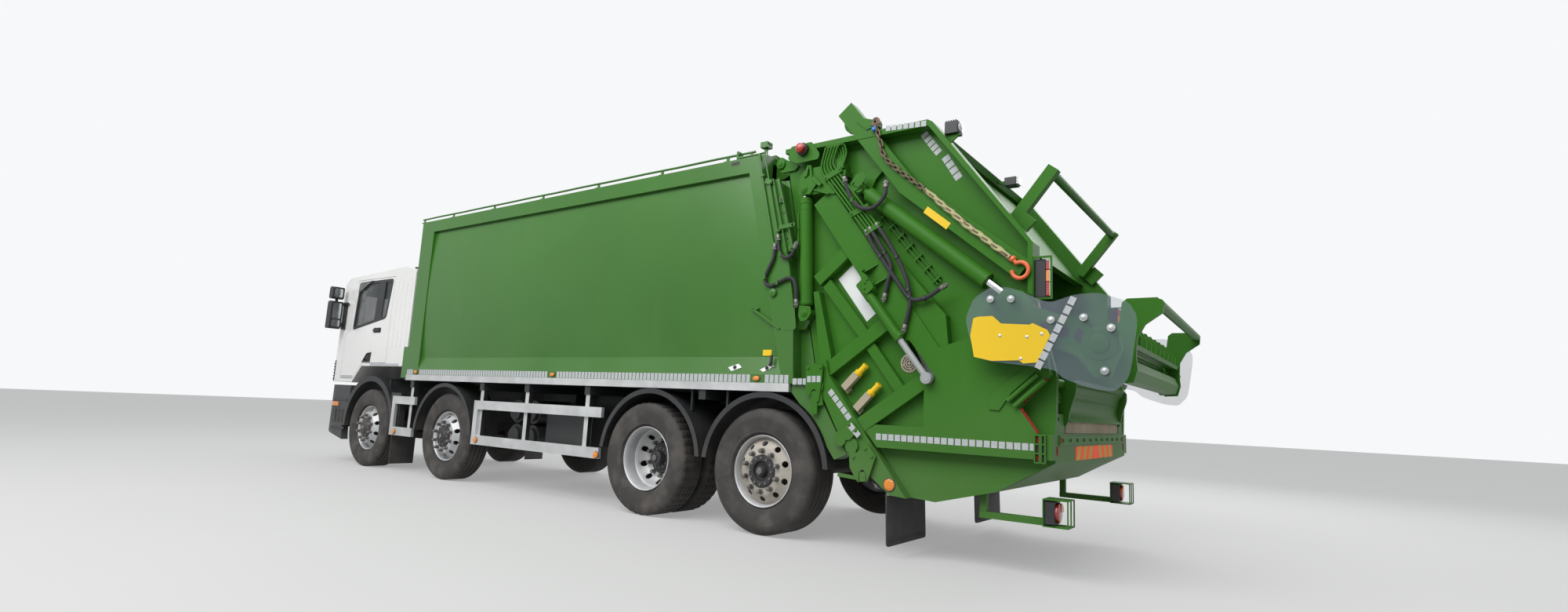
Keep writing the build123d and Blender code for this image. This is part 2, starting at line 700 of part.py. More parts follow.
def body_shell():
    half = Solid.extrude(body_section(), Vector(seam_knee[0] - body_front, 0, 0))
    half = Pos(body_front, 0, 0) * half
    skin = join(half, other_side(half))
    posts = [block(body_front, post_rear, -body_half, body_half, body_floor, body_top - 20)]
    (tx, tz), (kx, kz) = seam(-seam_gap)
    pillar = [(6510, panel_high + 10), (6970, 1300), (7090, 1300), (7060, 1900), (6860, 2980), (6660, panel_high + 10)]
    posts.append(side_plate(pillar, -body_half, body_half))
    shape = join(skin, *posts)
    rear_keep = [(body_front - 5, body_floor), (body_front - 5, body_top + 5), (6655, body_top + 5), (6655, 3050),
                 (tx, tz), (kx, kz), (kx + 40, body_floor)]
    shape = shape & side_plate(rear_keep, -body_half - 5, body_half + 5)
    recess = [(6700, 3060), (6870, 2975), (7062, 1900), (7092, 1290), (7400, 1290), (7400, 3060)]
    for sign in (-1, 1):
        y0, y1 = sorted((sign * recess_half, sign * (body_half + 50)))
        shape = shape - side_plate(recess, y0, y1)
    cavity = block(body_front + body_wall, seam_knee[0] + 200, -load_half, load_half, body_floor + body_wall,
                   body_top - body_wall)
    return shape - cavity


def hinge_lugs():
    """Lugs on the roof's rear edge that carry the tailgate's hinge pins."""
    pieces = []
    for sign in (-1, 1):
        for y_in in (870, 985):
            y0, y1 = sorted((sign * y_in, sign * (y_in + 45)))
            outline = [(6560, body_top), (6560, body_top + 45), (6640, body_top + 45), (hinge_x + 48, hinge_z + 20),
                       (hinge_x + 48, hinge_z - 40), (hinge_x - 60, hinge_z - 90), (6655.0, 3090), (6655.0, body_top)]
            pieces.append(side_plate(outline, y0, y1))
        pieces.append(cross_rod(hinge_x, hinge_z, 30, sign * 865, sign * 1035))
    return pieces


def rear_bolster():
    """The body's lower rear corners under the floor, which the tailgate closes on."""
    (kx, kz), (fx, fz) = [(x - seam_gap, z) for x, z in (seam_knee, seam_foot)]
    outline = [(7060, body_floor), (kx - 30, body_floor), (kx + 55, body_floor), (fx, fz), (fx - 110, fz - 50),
               (rail_rear - 60, 960), (7060, 1180)]
    cheek_in = load_half - 30
    cheek = side_plate(outline, cheek_in, recess_half + 90)
    beam = side_plate([(7200, body_floor), (kx + 55, body_floor), (kx + 150, 1080), (7240, 1080)], -cheek_in, cheek_in)
    arch = cross_rod(axle_4 + 30, tyre_radius, 622 + guard_wall_mud + 18, -body_half, body_half)
    return join(cheek, other_side(cheek), beam) - arch


lower_rail = block(1000, 7050, body_half - 60, body_half, outrigger_top, body_floor)
front_box_wide = 260
front_box = block(cab_rear + 12, body_front, body_half - front_box_wide, body_half, 1210, 1610)

ejector_front = body_front + body_wall + 60
ejector_stroke = 4700


def ejector():
    half = load_half - 12
    low, high = body_floor + body_wall + 0.3, body_top - body_wall - 12
    plate = side_plate([(ejector_front + 300, low), (ejector_front, high), (ejector_front + 60, high),
                        (ejector_front + 360, low)], -half, half)
    foot = block(ejector_front + 40, ejector_front + 320, -half, half, low, low + 80)
    return join(plate, foot)


save("ejector_plate", ejector())


# Side guards, tanks and boxes under the body
def side_guard(front, rear, uprights):
    top = block(front, rear, body_half - 35, body_half, 870, 970)
    low = block(front, rear, body_half - 35, body_half, 470, 575)
    post = block(front, front + 75, body_half - 36, body_half - 1, 500, 900)
    legs = [block(x - 30, x + 30, body_half - 85, body_half - 35, 500, outrigger_top - 90) for x in uprights]
    return join(top, low, post, *legs)


long_guard = side_guard(axle_2 + 670, axle_3 - 600, outriggers_at[1:4])
short_guard = side_guard(745, axle_2 - 650, outriggers_at[:1])
save("side_guards", *both_sides(long_guard, short_guard, lower_rail))

tank_radius = 130
tank_end = body_half - 200
tank_pitch = 290
bay_long = axle_3 - axle_2
tank_1 = axle_2 + 0.34 * bay_long
tank_2 = tank_1 + tank_pitch
battery_front, battery_rear = axle_2 + 0.5245 * bay_long, axle_3 - 910
fuel_front, fuel_rear = axle_2 + 860, axle_3 - 1110


def air_tank(x, z, y_end):
    tube = cross_rod(x, z, tank_radius, -y_end + 40, -430)
    dome = cross_rod(x, z, tank_radius - 35, -y_end, -y_end + 40)
    return join(tube, dome)


air_tanks = [air_tank(x, z, tank_end) for x in (tank_1, tank_2) for z in (600, 870)]
tank_cradle = block(tank_1 - 160, tank_2 + 150, -560, -rail_outer_y, 700, 1090)
tank_cradle = join(tank_cradle, block(tank_1 - 160, tank_2 + 150, -560, -500, 460, 1090))
fuel_tank = block(fuel_front, fuel_rear, 470, body_half - 150, 480, 1020)
fuel_tank = fillet(fuel_tank.edges().filter_by(Axis.X), 90)
fuel_straps = [block(x - 30, x + 30, rail_outer_y, 470, 560, 940) for x in (fuel_front + 250, fuel_rear - 250)]
save("fuel_tank", join(fuel_tank, *fuel_straps))
battery_box = block(battery_front, battery_rear, 160 - body_half, -rail_outer_y, 560, 900)
save("air_tanks_and_battery", join(tank_cradle, *air_tanks), battery_box)


# Tailgate
(seam_tx, seam_tz), (seam_kx, seam_kz) = seam(seam_gap)
seam_fx, seam_fz = seam_foot[0] + seam_gap, seam_foot[1]
gate_outline = [(6905, 3270), (6862, 3200), (seam_tx, seam_tz), (seam_kx, seam_kz), (seam_fx, seam_fz),
                (7985, 452), (8300, 430), (8740, 545), (8930, 655), (9140, 770), (9140, 955), (9150, 1340),
                (9025, 1850), (9025, 2250), (8270, 3260), (8230, 3285)]


def hopper_floor():
    """The trough plate across the hopper, with an even wall."""
    line = [(seam_fx - 120, seam_fz + 215), (seam_fx + 40, seam_fz - 25), (7985, 452), (8300, 430), (8740, 545), (9140, 770),
            (9140, 955)]
    wall = 45
    inner = [(seam_fx - 75, seam_fz + 240), (seam_fx + 75, seam_fz + 10), (8010, 500), (8295, 477), (8720, 588),
             (9140 - wall, 800), (9140 - wall, 955)]
    return side_plate(line + inner[::-1], -plate_in, plate_in)


slot_reach = 46


def slide_slot(y0, y1):
    """The slot that the carriage's side pins run in."""
    up = along(slide_eye, slide_top, carriage_stroke)
    channel = bar(slide_eye, up, 2 * slot_reach, y0, y1)
    return join(channel, cross_rod(*slide_eye, slot_reach, y0, y1), cross_rod(*up, slot_reach, y0, y1))


def tailgate_shell():
    plate = side_plate(gate_outline, plate_in, plate_out)
    plate = plate - slide_slot(plate_in - 5, plate_out + 5)
    sides = [plate, other_side(plate)]
    roof = side_plate([(6905, 3270), (6905, 3225), (8200, 3235), (8230, 3285)], -plate_in, plate_in)
    slope = side_plate([(8080, 3235), (8160, 3235), (8810, 2345), (8740, 2345)], -plate_in, plate_in)
    sill = block(9095, 9140, -plate_in, plate_in, 780, 965)
    lamp_foot = side_plate([(8215, 3262), (8215, 3250), (8292, 3215), (8292, 3262)], 385, 415)
    return join(*sides, roof, slope, hopper_floor(), sill, lamp_foot)


def hinge_arm():
    """The tailgate's upper front corner, carried on the hinge pin between the lugs."""
    outline = [(6905, 3268), (hinge_x - 20, hinge_z + 55), (hinge_x - 55, hinge_z + 10), (hinge_x - 50, hinge_z - 30),
               (hinge_x + 10, hinge_z - 62), (6930, 3060), (6980, 3060), (6980, 3268)]
    arm = side_plate(outline, 920, 980) - cross_rod(hinge_x, hinge_z, 30 + running_gap, 915, 985)
    tie = side_plate([(6935, 3224), (6935, 3060), (6980, 3060), (6980, 3224)], 980, plate_in - 0.0)
    return join(arm, tie)


save("tailgate_shell", join(tailgate_shell(), hinge_arm(), other_side(hinge_arm())))

# Outside framing of the tailgate: start, end, width, inner y, outer y
band = (((7300, 2800), (8340, 1370), 210, plate_out, frame_out),)
ribs = [
    ((7262, 2096), (7560, 2340), 100, plate_out, frame_out - 20),
    ((7382, 1357), (7960, 1765), 108, plate_out, frame_out - 20),
    ((7708, 943), (8300, 1345), 115, plate_out, frame_out - 20),
    ((7345, 2072), (7700, 1652), 91, plate_out, frame_out - 40),
    ((7765, 1555), (8030, 1220), 81, plate_out, frame_out - 40),
]


def gate_framing():
    pieces = [bar(*band[0])]
    for row in ribs:
        pieces.append(bar(*row))
    front = side_plate([(seam_kx, seam_kz), (seam_fx, seam_fz), (7985, 452), (8115, 442.9), (7668, 1004), (7425, 1320),
                        (7395, 1440), (7328, 1440)], plate_out, frame_out)
    upper = side_plate([(7233, 2007), (7286, 2004), (7427, 1467), (7400, 1400), (7325, 1400)], plate_out, frame_out - 20)
    second = side_plate([(7530, 2640), (7664, 2625), (7932, 2286), (8391, 1772), (8420, 1500), (8300, 1420)], plate_out,
                        frame_out - 15)
    top = side_plate([(6905, 3270), (6905, 3230), (8235, 3235), (8990, 2250), (8990, 1900), (9025, 1880),
                      (9025, 2250), (8270, 3260), (8230, 3285)], plate_out, body_half)
    belt = side_plate([(7853, 957), (7770, 905), (7868, 790), (9140, 790), (9140, 955)], plate_out, frame_out)
    corner = side_plate([(8240, 955), (8240, 1500), (8700, 1640), (9100, 1560), (9130, 1350), (8930, 1120), (9065, 950)],
                        plate_out, frame_out)
    shape = join(*pieces, front, upper, second, top, belt, corner)
    return shape - slide_slot(plate_out - 5, frame_out + 5)


# Tailgate rams, from a pin on the body to a pin on the tailgate
gate_barrel_long = 920


def gate_barrel():
    start, end = (body_pin_x, body_pin_z), (gate_pin_x, gate_pin_z)
    foot, head = along(start, end, 70), along(start, end, 70 + gate_barrel_long)
    barrel = rod_between((foot[0], gate_ram_y, foot[1]), (head[0], gate_ram_y, head[1]), gate_ram_radius)
    eye = cross_rod(*start, 48, gate_ram_y - 28, gate_ram_y + 28) - cross_rod(*start, 25 + running_gap, gate_ram_y - 60, gate_ram_y + 60)
    neck = rod_between((along(start, end, 40)[0], gate_ram_y, along(start, end, 40)[1]),
                       (foot[0], gate_ram_y, foot[1]), 27)
    bore_start, bore_end = along(start, end, 130), along(start, end, 75 + gate_barrel_long)
    bore = rod_between((bore_start[0], gate_ram_y, bore_start[1]), (bore_end[0], gate_ram_y, bore_end[1]),
                       gate_rod_radius + running_gap)
    return join(eye, neck, barrel) - bore


def gate_rod():
    start, end = (body_pin_x, body_pin_z), (gate_pin_x, gate_pin_z)
    low = along(start, end, 140)
    near = along(end, start, 34)
    rod = rod_between((low[0], gate_ram_y, low[1]), (near[0], gate_ram_y, near[1]), gate_rod_radius)
    eye = cross_rod(*end, 46, gate_ram_y - 26, gate_ram_y + 26) - cross_rod(*end, 25, gate_ram_y - 60, gate_ram_y + 60)
    return join(rod, eye)


def body_ram_foot():
    """Bracket on the body's recess with the ram's lower pin."""
    inner, outer = gate_ram_y - 57, gate_ram_y - 33
    pad = side_plate([(7000, 1900), (7000, 1700), (7110, 1700), (7110, 1900)], recess_half - 1, outer)
    plate = side_plate([(7000, 1900), (7000, 1700), (7140, 1700), (7190, 1780), (7190, 1870)], inner, outer)
    boss = cross_rod(body_pin_x, body_pin_z, 52, inner, outer)
    pin = cross_rod(body_pin_x, body_pin_z, 25, outer - 7, gate_ram_y + 38)
    cap = cross_rod(body_pin_x, body_pin_z, 38, gate_ram_y + 33, gate_ram_y + 45)
    return join(pad, plate, boss, pin, cap)


def gate_ram_head():
    """Two ears on the tailgate at the ram's upper eye, which stays free between them."""
    web = side_plate([(7200, 3060), (7190, 2960), (7240, 2830), (7420, 2830), (7380, 3060)], plate_out, body_half)
    outline = [(7066, 2985), (7066, 2860), (7092, 2836), (7150, 2828), (7300, 2830), (7420, 2805), (7430, 2840),
               (7335, 2885), (7268, 2945), (7222, 3030), (7190, 3050), (7110, 3050)]
    ears = [side_plate(outline, *span) for span in ((plate_out, plate_out + 28), (body_half - 10, body_half))]
    return join(web, *ears)


save("tailgate_barrels", *both_sides(gate_barrel()))
save("tailgate_rods", *both_sides(gate_rod()))
save("body_shell", join(body_shell(), *both_sides(front_box, body_ram_foot()), rear_bolster(), *hinge_lugs()))


# Locking hooks between body and tailgate
def lock_hook(x, z):
    return join(bar((x, z), (x + 30, z - 150), 60, frame_out, frame_out + 18),
                cross_rod(x, z, 55, frame_out, frame_out + 18))


# Carriage inside the tailgate with its side pins, and the rods that drive it
def carriage():
    slab = bar((7420, 2790), (8120, 1800), 170, -carriage_half, carriage_half)
    shaft = cross_rod(*blade_hinge, 45, -carriage_half, carriage_half)
    cheeks = []
    for sign in (-1, 1):
        y0, y1 = sorted((sign * (blade_half + 8), sign * carriage_half))
        outline = [(7980, 1900), (8130, 1960), (8270, 1700), (8330, 1290), (8230, 1270), (8080, 1560), (7990, 1760)]
        cheeks.append(side_plate(outline, y0, y1))
        a, b = sorted((sign * (carriage_half - 2), sign * (slide_ram_y + 26)))
        cheeks.append(cross_rod(*slide_eye, 30, a, b))
        rod = slide_rod()
        cheeks.append(rod if sign > 0 else other_side(rod))
    return join(slab, shaft, *cheeks)


def packer_blade():
    (hx, hz), (tx, tz) = blade_hinge, blade_tip
    outline = [(hx - 75, hz - 60), (hx - 60, hz + 60), (hx + 60, hz + 60), (hx + 90, hz - 100), (tx + 130, tz + 420),
               (tx + 60, tz + 60), (tx, tz), (tx - 60, tz + 20), (tx + 20, tz + 420), (hx + 10, hz - 300)]
    blade = side_plate(outline, -blade_half, blade_half)
    bore = cross_rod(hx, hz, 45 + running_gap, -blade_half - 5, blade_half + 5)
    return blade - bore


def slide_barrel():
    start, eye = slide_top, slide_eye
    a, b = along(start, eye, 70), along(start, eye, 530)
    tube = rod_between((a[0], slide_ram_y, a[1]), (b[0], slide_ram_y, b[1]), slide_ram_radius)
    bore_a, bore_b = along(start, eye, 120), along(start, eye, 535)
    bore = rod_between((bore_a[0], slide_ram_y, bore_a[1]), (bore_b[0], slide_ram_y, bore_b[1]),
                       slide_rod_radius + running_gap)
    foot = bar(along(start, eye, -60), along(start, eye, 110), 110, frame_out, slide_ram_y - 30)
    block_end = bar(along(start, eye, -40), along(start, eye, 75), 60, slide_ram_y - 32, slide_ram_y + 26)
    return join(tube - bore, foot, block_end)


def slide_rod():
    start, eye = slide_top, slide_eye
    a, b = along(start, eye, 440), along(eye, start, 20)
    rod = rod_between((a[0], slide_ram_y, a[1]), (b[0], slide_ram_y, b[1]), slide_rod_radius)
    return join(rod, cross_rod(*eye, 42, slide_ram_y - 24, slide_ram_y + 24))


save("carriage", carriage())
save("packer_blade", packer_blade())
save("carriage_barrels", *both_sides(slide_barrel()))

# Lift rams
ram_angle = radians(-38.1)
ram_rest = 1606
ram_barrel_from, ram_barrel_to = 95, 1334
ram_eye = (ram_pin[0] + ram_rest * cos(ram_angle), ram_pin[1] + ram_rest * sin(ram_angle))


def lift_barrel():
    a, b = along(ram_pin, ram_eye, ram_barrel_from), along(ram_pin, ram_eye, ram_barrel_to)
    tube = rod_between((a[0], ram_y, a[1]), (b[0], ram_y, b[1]), ram_radius)
    eye = cross_rod(*ram_pin, 50, ram_y - 30, ram_y + 30) - cross_rod(*ram_pin, 28 + running_gap, ram_y - 60, ram_y + 60)
    neck_a = along(ram_pin, ram_eye, 42)
    neck = rod_between((neck_a[0], ram_y, neck_a[1]), (a[0], ram_y, a[1]), 29)
    bore_a, bore_b = along(ram_pin, ram_eye, ram_barrel_from + 60), along(ram_pin, ram_eye, ram_barrel_to + 5)
    bore = rod_between((bore_a[0], ram_y, bore_a[1]), (bore_b[0], ram_y, bore_b[1]), ram_rod_radius + running_gap)
    return join(tube, eye, neck) - bore


def lift_rod():
    a, b = along(ram_pin, ram_eye, ram_barrel_to - 260), along(ram_eye, ram_pin, 30)
    rod = rod_between((a[0], ram_y, a[1]), (b[0], ram_y, b[1]), ram_rod_radius)
    eye = cross_rod(*ram_eye, 44, ram_y - 28, ram_y + 28) - cross_rod(*ram_eye, 24, ram_y - 60, ram_y + 60)
    return join(rod, eye)


def lift_ram_bracket():
    """Boxed bracket on the tailgate that holds the lift ram's upper pin between two ears."""
    inner_ear = side_plate([(7560, 2870), (7610, 2790), (7700, 2770), (7760, 2900), (7850, 2990), (7700, 2985)],
                           plate_out, ram_y - 33)
    pin = cross_rod(*ram_pin, 28, ram_y - 40, ram_y + 36)
    cap = cross_rod(*ram_pin, 42, ram_y + 33, ram_y + 45)
    return join(inner_ear, pin, cap)


save("lift_barrels", *both_sides(lift_barrel()))
save("lift_rods", *both_sides(lift_rod()))


# Lift arms with their pivots, cross shaft and guards
def lift_pivots():
    boss = cross_rod(*lift_pivot, 85, plate_out, arm_in - 6)
    pin = cross_rod(*lift_pivot, 45, arm_in - 8, arm_out + 8)
    cap = cross_rod(*lift_pivot, 60, arm_out + 6, arm_out + 16)
    return join(boss, pin, cap)


arm_outline = [(8660, 1530), (8640, 1640), (8740, 1800), (8850, 1920), (8980, 1905), (9060, 1790), (9250, 1720),
               (9420, 1730), (9560, 1660), (9590, 1500), (9520, 1330), (9420, 1330), (9330, 1460), (9150, 1530),
               (8900, 1560), (8780, 1480)]
comb_shaft_radius = 34


def lift_arm():
    arm = side_plate(arm_outline, arm_in, arm_out) - cross_rod(*lift_pivot, 45 + running_gap, arm_in - 5, arm_out + 5)
    return arm


def lift_arms():
    shaft = cross_rod(*comb_pivot, comb_shaft_radius, -arm_in - 2, arm_in + 2)
    arm = lift_arm()
    return join(arm, shaft, other_side(arm))


guard_outline = [(8640, 1560), (8600, 1720), (8660, 1860), (8790, 1935), (8930, 1915), (9160, 1800), (9330, 1850),
                 (9470, 1855), (9640, 1790), (9692, 1690), (9640, 1330), (9560, 1240), (9440, 1250), (9260, 1310),
                 (9190, 1375), (8700, 1430)]
guard_bolts = [(8780, 1845), (8920, 1840), (9180, 1690), (9380, 1700), (9540, 1630), (9500, 1365)]


def side_shield():
    sheet = side_plate(guard_outline, guard_in, guard_in + guard_wall)
    return sheet


def shield_posts():
    return [cross_rod(x, z, 16, arm_out, guard_in + guard_wall + 10) for x, z in guard_bolts]


save("lift_arms", join(lift_arms(), *both_sides(*shield_posts())))
shield = side_shield()
for x, z in guard_bolts:
    shield = shield - cross_rod(x, z, 16.3, guard_in - 5, guard_in + guard_wall + 5)
save("lift_shields", *both_sides(shield))


# Comb carrier: cheeks on the cross shaft, a tube, a deep tray with its comb, and the channel below
cheek_y = 1000
cheek_wall = 28
comb_tooth = 14
comb_count = 9


def comb():
    cx, cz = comb_pivot
    pieces = []
    outline = [(cx - 75, cz + 40), (cx - 20, cz + 105), (cx + 60, cz + 170), (cx + 78, cz + 300), (cx + 110, cz + 325),
               (cx + 290, cz + 325), (cx + 325, cz + 290), (cx + 320, cz + 225), (cx + 215, cz + 150), (cx + 165, cz + 60),
               (cx + 158, cz - 60), (cx + 165, cz - 140), (cx + 140, cz - 225), (cx + 40, cz - 232), (cx - 60, cz - 60)]
    for sign in (-1, 1):
        y0, y1 = sorted((sign * cheek_y, sign * (cheek_y + cheek_wall)))
        pieces.append(side_plate(outline, y0, y1))
    tray = side_plate([(cx + 45, cz + 12), (cx + 148, cz - 2), (cx + 156, cz + 28), (cx + 49, cz + 42)], -cheek_y, cheek_y)
    channel = side_plate([(cx + 55, cz - 85), (cx + 130, cz - 78), (cx + 154, cz - 142), (cx + 132, cz - 212),
                          (cx + 45, cz - 220), (cx + 45, cz - 204), (cx + 120, cz - 196), (cx + 138, cz - 142),
                          (cx + 118, cz - 94), (cx + 55, cz - 101)], -cheek_y, cheek_y)
    tube = cross_rod(cx + 295, cz + 285, 32, -cheek_y - 10, cheek_y + 10)
    shape = join(*pieces, channel, tray, tube)
    return shape - cross_rod(cx, cz, comb_shaft_radius + running_gap, -1100, 1100)


def comb_teeth():
    """Upright hooked plates along the tray, fused to it."""
    cx, cz = comb_pivot
    outline = [(cx + 80, cz + 12), (cx + 150, cz + 8), (cx + 158, cz + 85), (cx + 124, cz + 160), (cx + 94, cz + 164),
               (cx + 114, cz + 84)]
    pitch = 2 * 800 / (comb_count - 1)
    return [side_plate(outline, -800 + i * pitch - comb_tooth / 2, -800 + i * pitch + comb_tooth / 2)
            for i in range(comb_count)]


save("comb_carrier", join(comb(), *comb_teeth()))


# Chain beams on the tailgate's upper sides
chain_y = body_half + 18
link_long, link_radius = 62, 13
beam_top, beam_kink, beam_foot = (7485, 3520), (8060, 2790), (8960, 2060)
beam_width = 150


def chain_beam():
    y0, y1 = plate_out, body_half - 5
    upper = bar(beam_top, beam_kink, beam_width, y0, y1)
    lower = bar(beam_kink, beam_foot, beam_width, y0, y1)
    knee = cross_rod(*beam_kink, beam_width / 2, y0, y1)
    sheave = cross_rod(7560, 3400, 90, body_half - 70, body_half - 35)
    shackle = side_plate([(7600, 3390), (7680, 3400), (7800, 3360), (7800, 3320), (7700, 3300)], body_half - 80,
                         chain_y - link_radius - 0.3)
    return join(upper, lower, knee, sheave, shackle)


save("chain_beams", *both_sides(chain_beam()))
framing = join(gate_framing(), gate_ram_head(), lift_ram_bracket(), lift_pivots(), lock_hook(7330, 1230),
               lock_hook(7660, 790)) - chain_beam()

chain_route = [(7790, 3330), (7835, 3180), (7905, 3005), (8240, 2710), (8580, 2400), (8900, 2125)]


def chain():
    pieces = []
    for a, b in zip(chain_route, chain_route[1:]):
        pieces.append(bar(a, b, 2 * link_radius, chain_y - link_radius, chain_y + link_radius))
    for point in chain_route[1:-1]:
        pieces.append(cross_rod(*point, link_radius, chain_y - link_radius, chain_y + link_radius))
    return join(*pieces)


def chain_hook():
    x, z = chain_route[-1]
    ring = cross_rod(x + 45, z - 70, 70, chain_y - 14, chain_y + 14)
    ring = ring - cross_rod(x + 45, z - 70, 38, chain_y - 20, chain_y + 20)
    shank = bar((x, z), (x + 20, z - 20), 40, chain_y - 14, chain_y + 14)
    return join(ring, shank)


save("hoist_chains", *both_sides(join(chain(), chain_hook())))


# Bin stop frame, lamps, lower lamp arms, loading flap and mud flaps
def bin_stop():
    arm_y0, arm_y1 = plate_in - 105, plate_in - 40
    arm = bar((8800, 2440), (9110, 2830), 85, arm_y0, arm_y1)
    tie = bar((8860, 2380), (8960, 2480), 110, arm_y1, plate_in)
    tube = cross_rod(9090, 2800, 32, -arm_y0, arm_y0)
    arm = join(arm, tie)
    return join(arm, other_side(arm), tube)


save("bin_stop_frame", bin_stop())


def rear_lamp():
    return block(9030.3, 9125, plate_out + 5, body_half - 28, 1870, 2125)


def lamp_holder():
    loop_y0, loop_y1 = body_half - 18, body_half - 6
    back = block(9024, 9030, plate_out, loop_y1, 1850, 2147)
    loop_a = block(9030, 9150, loop_y0, loop_y1, 2135, 2147)
    loop_b = block(9138, 9150, loop_y0, loop_y1, 1850, 2147)
    loop_c = block(9030, 9150, loop_y0, loop_y1, 1850, 1862)
    return join(back, loop_a, loop_b, loop_c)


# lower lamps, each in a cage on the end of an arm
arm_lamp_y = body_half - 210
cage_front, cage_long, cage_half = 9050, 165, 85
cage_low, cage_high, cage_sheet = 355, 535, 7
lamp_half, lamp_long, lamp_margin = 70, 93, 17


def lower_lamp_arm():
    rear = cage_front + cage_long
    tube = block(8600, cage_front + 6, arm_lamp_y - 25, arm_lamp_y + 25, cage_low, cage_low + 45)
    hanger = side_plate([(8600, 380), (8650, 380), (8650, 521), (8600, 508)], arm_lamp_y - 20, arm_lamp_y + 20)
    y0, y1 = arm_lamp_y - cage_half, arm_lamp_y + cage_half
    tray = block(cage_front + 5, rear, y0, y1, cage_low, cage_low + cage_sheet)
    top = block(cage_front + 5, rear, y0, y1, cage_high - cage_sheet, cage_high)
    back = block(cage_front, cage_front + cage_sheet, y0, y1, cage_low, cage_high)
    bars = [block(rear - 8, rear, y - 4, y + 4, cage_low + 3, cage_high - 5) for y in (y0 + 5, arm_lamp_y, y1 - 5)]
    return join(tube, hanger, tray, top, back, *bars)


def lower_lamp():
    front = cage_front + cage_sheet + 0.3
    return block(front, front + lamp_long, arm_lamp_y - lamp_half, arm_lamp_y + lamp_half, cage_low + lamp_margin,
                 cage_high - lamp_margin)


# work lamp over the near corner of the roof's slope and a lamp at its middle, on their brackets
work_lamp_y = body_half - 110
work_lamp = block(8346, 8466, work_lamp_y - 50, work_lamp_y + 50, 3165.3, 3258)
work_bracket = side_plate([(8310, 3200), (8385, 3098), (8450, 3150), (8450, 3165), (8345, 3165)], work_lamp_y + 10,
                          work_lamp_y + 26)
middle_lamp = block(8292.3, 8420, 345, 455, 3205, 3280)


# Sprung tubes and lever plate over the hopper's side
def side_levers():
    y0, y1 = frame_out, frame_out + 12
    plate = side_plate([(8725, 1105), (8795, 1100), (8880, 1220), (9075, 1395), (9050, 1440), (8850, 1300), (8720, 1180)],
                       y0 - 1, y1)
    tubes = [rod_between((xa, y1 + 8, za), (xb, y1 + 8, zb), 17)
             for (xa, za), (xb, zb) in (((8860, 1165), (9060, 1345)), ((8905, 1130), (9105, 1310)))]
    feet = [cross_rod(x, z, 12, y0 - 1, y1 + 10) for x, z in ((8885, 1187), (9035, 1322), (8930, 1152), (9080, 1287))]
    return join(plate, *tubes, *feet)


save("rear_lamps", *both_sides(rear_lamp()), *both_sides(lower_lamp()), other_side(work_lamp), middle_lamp)
framing = join(framing, lamp_holder(), side_levers())
left_framing = join(other_side(framing), other_side(work_bracket))
save("tailgate_framing", framing, left_framing, *both_sides(lower_lamp_arm()))


def loading_flap():
    sheet = side_plate([(9150, 1050), (9120, 1130), (9135, 1230), (9205, 1330), (9215, 1320), (9155, 1225), (9140, 1135),
                        (9165, 1060)], -870, 870)
    ends = [side_plate([(9095, 965), (9165, 1040), (9215, 1330), (9095, 1330)], *span)
            for span in ((-900, -870), (870, 900))]
    board = block(9095, 9135, -870, 870, 965, 1050)
    feet = [block(9095, 9140, *span, 1280, 1330) for span in ((-plate_in, -900), (900, plate_in))]
    return join(sheet, *ends, board, *feet)


mud_flap_in, mud_flap_out = 555, frame_out - 8
mud_flap = side_plate([(7946, 480.4), (7958, 471.6), (7974, 80), (7962, 80)], mud_flap_in, mud_flap_out)
save("rear_flaps", loading_flap(), *both_sides(mud_flap))
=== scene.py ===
import bpy
import bmesh
import math
from mathutils import Matrix, Vector


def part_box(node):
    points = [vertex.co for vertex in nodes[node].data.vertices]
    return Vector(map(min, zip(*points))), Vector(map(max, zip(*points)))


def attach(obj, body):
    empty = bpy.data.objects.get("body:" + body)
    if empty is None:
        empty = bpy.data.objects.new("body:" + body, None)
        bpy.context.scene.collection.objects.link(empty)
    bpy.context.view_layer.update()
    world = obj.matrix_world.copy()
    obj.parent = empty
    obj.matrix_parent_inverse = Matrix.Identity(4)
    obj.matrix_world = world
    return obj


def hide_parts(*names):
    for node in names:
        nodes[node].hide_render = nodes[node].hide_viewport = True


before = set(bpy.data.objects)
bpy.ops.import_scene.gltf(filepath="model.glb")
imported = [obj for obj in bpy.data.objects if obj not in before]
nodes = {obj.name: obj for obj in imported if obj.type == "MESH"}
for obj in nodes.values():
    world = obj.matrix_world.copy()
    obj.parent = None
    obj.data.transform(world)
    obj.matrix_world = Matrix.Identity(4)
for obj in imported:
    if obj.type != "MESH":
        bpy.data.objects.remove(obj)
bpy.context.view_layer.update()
print("frame loaded with", len(nodes), "nodes")

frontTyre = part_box("tyre_1_left")
axleX = (frontTyre[0].x + frontTyre[1].x) / 2      # stations are measured rearward from the first axle
hubHeight = (frontTyre[0].z + frontTyre[1].z) / 2
sides = {"left": -1, "right": 1}
rearward, across = (1, 0, 0), Vector((0, 1, 0))


def at(x, y, z):
    return Vector((axleX + x, y, z))


def spoke(radius, turn, y=0.0):      # an offset about the axis of a wheel or a hook
    return Vector((radius * math.cos(turn), y, radius * math.sin(turn)))


# Finishes

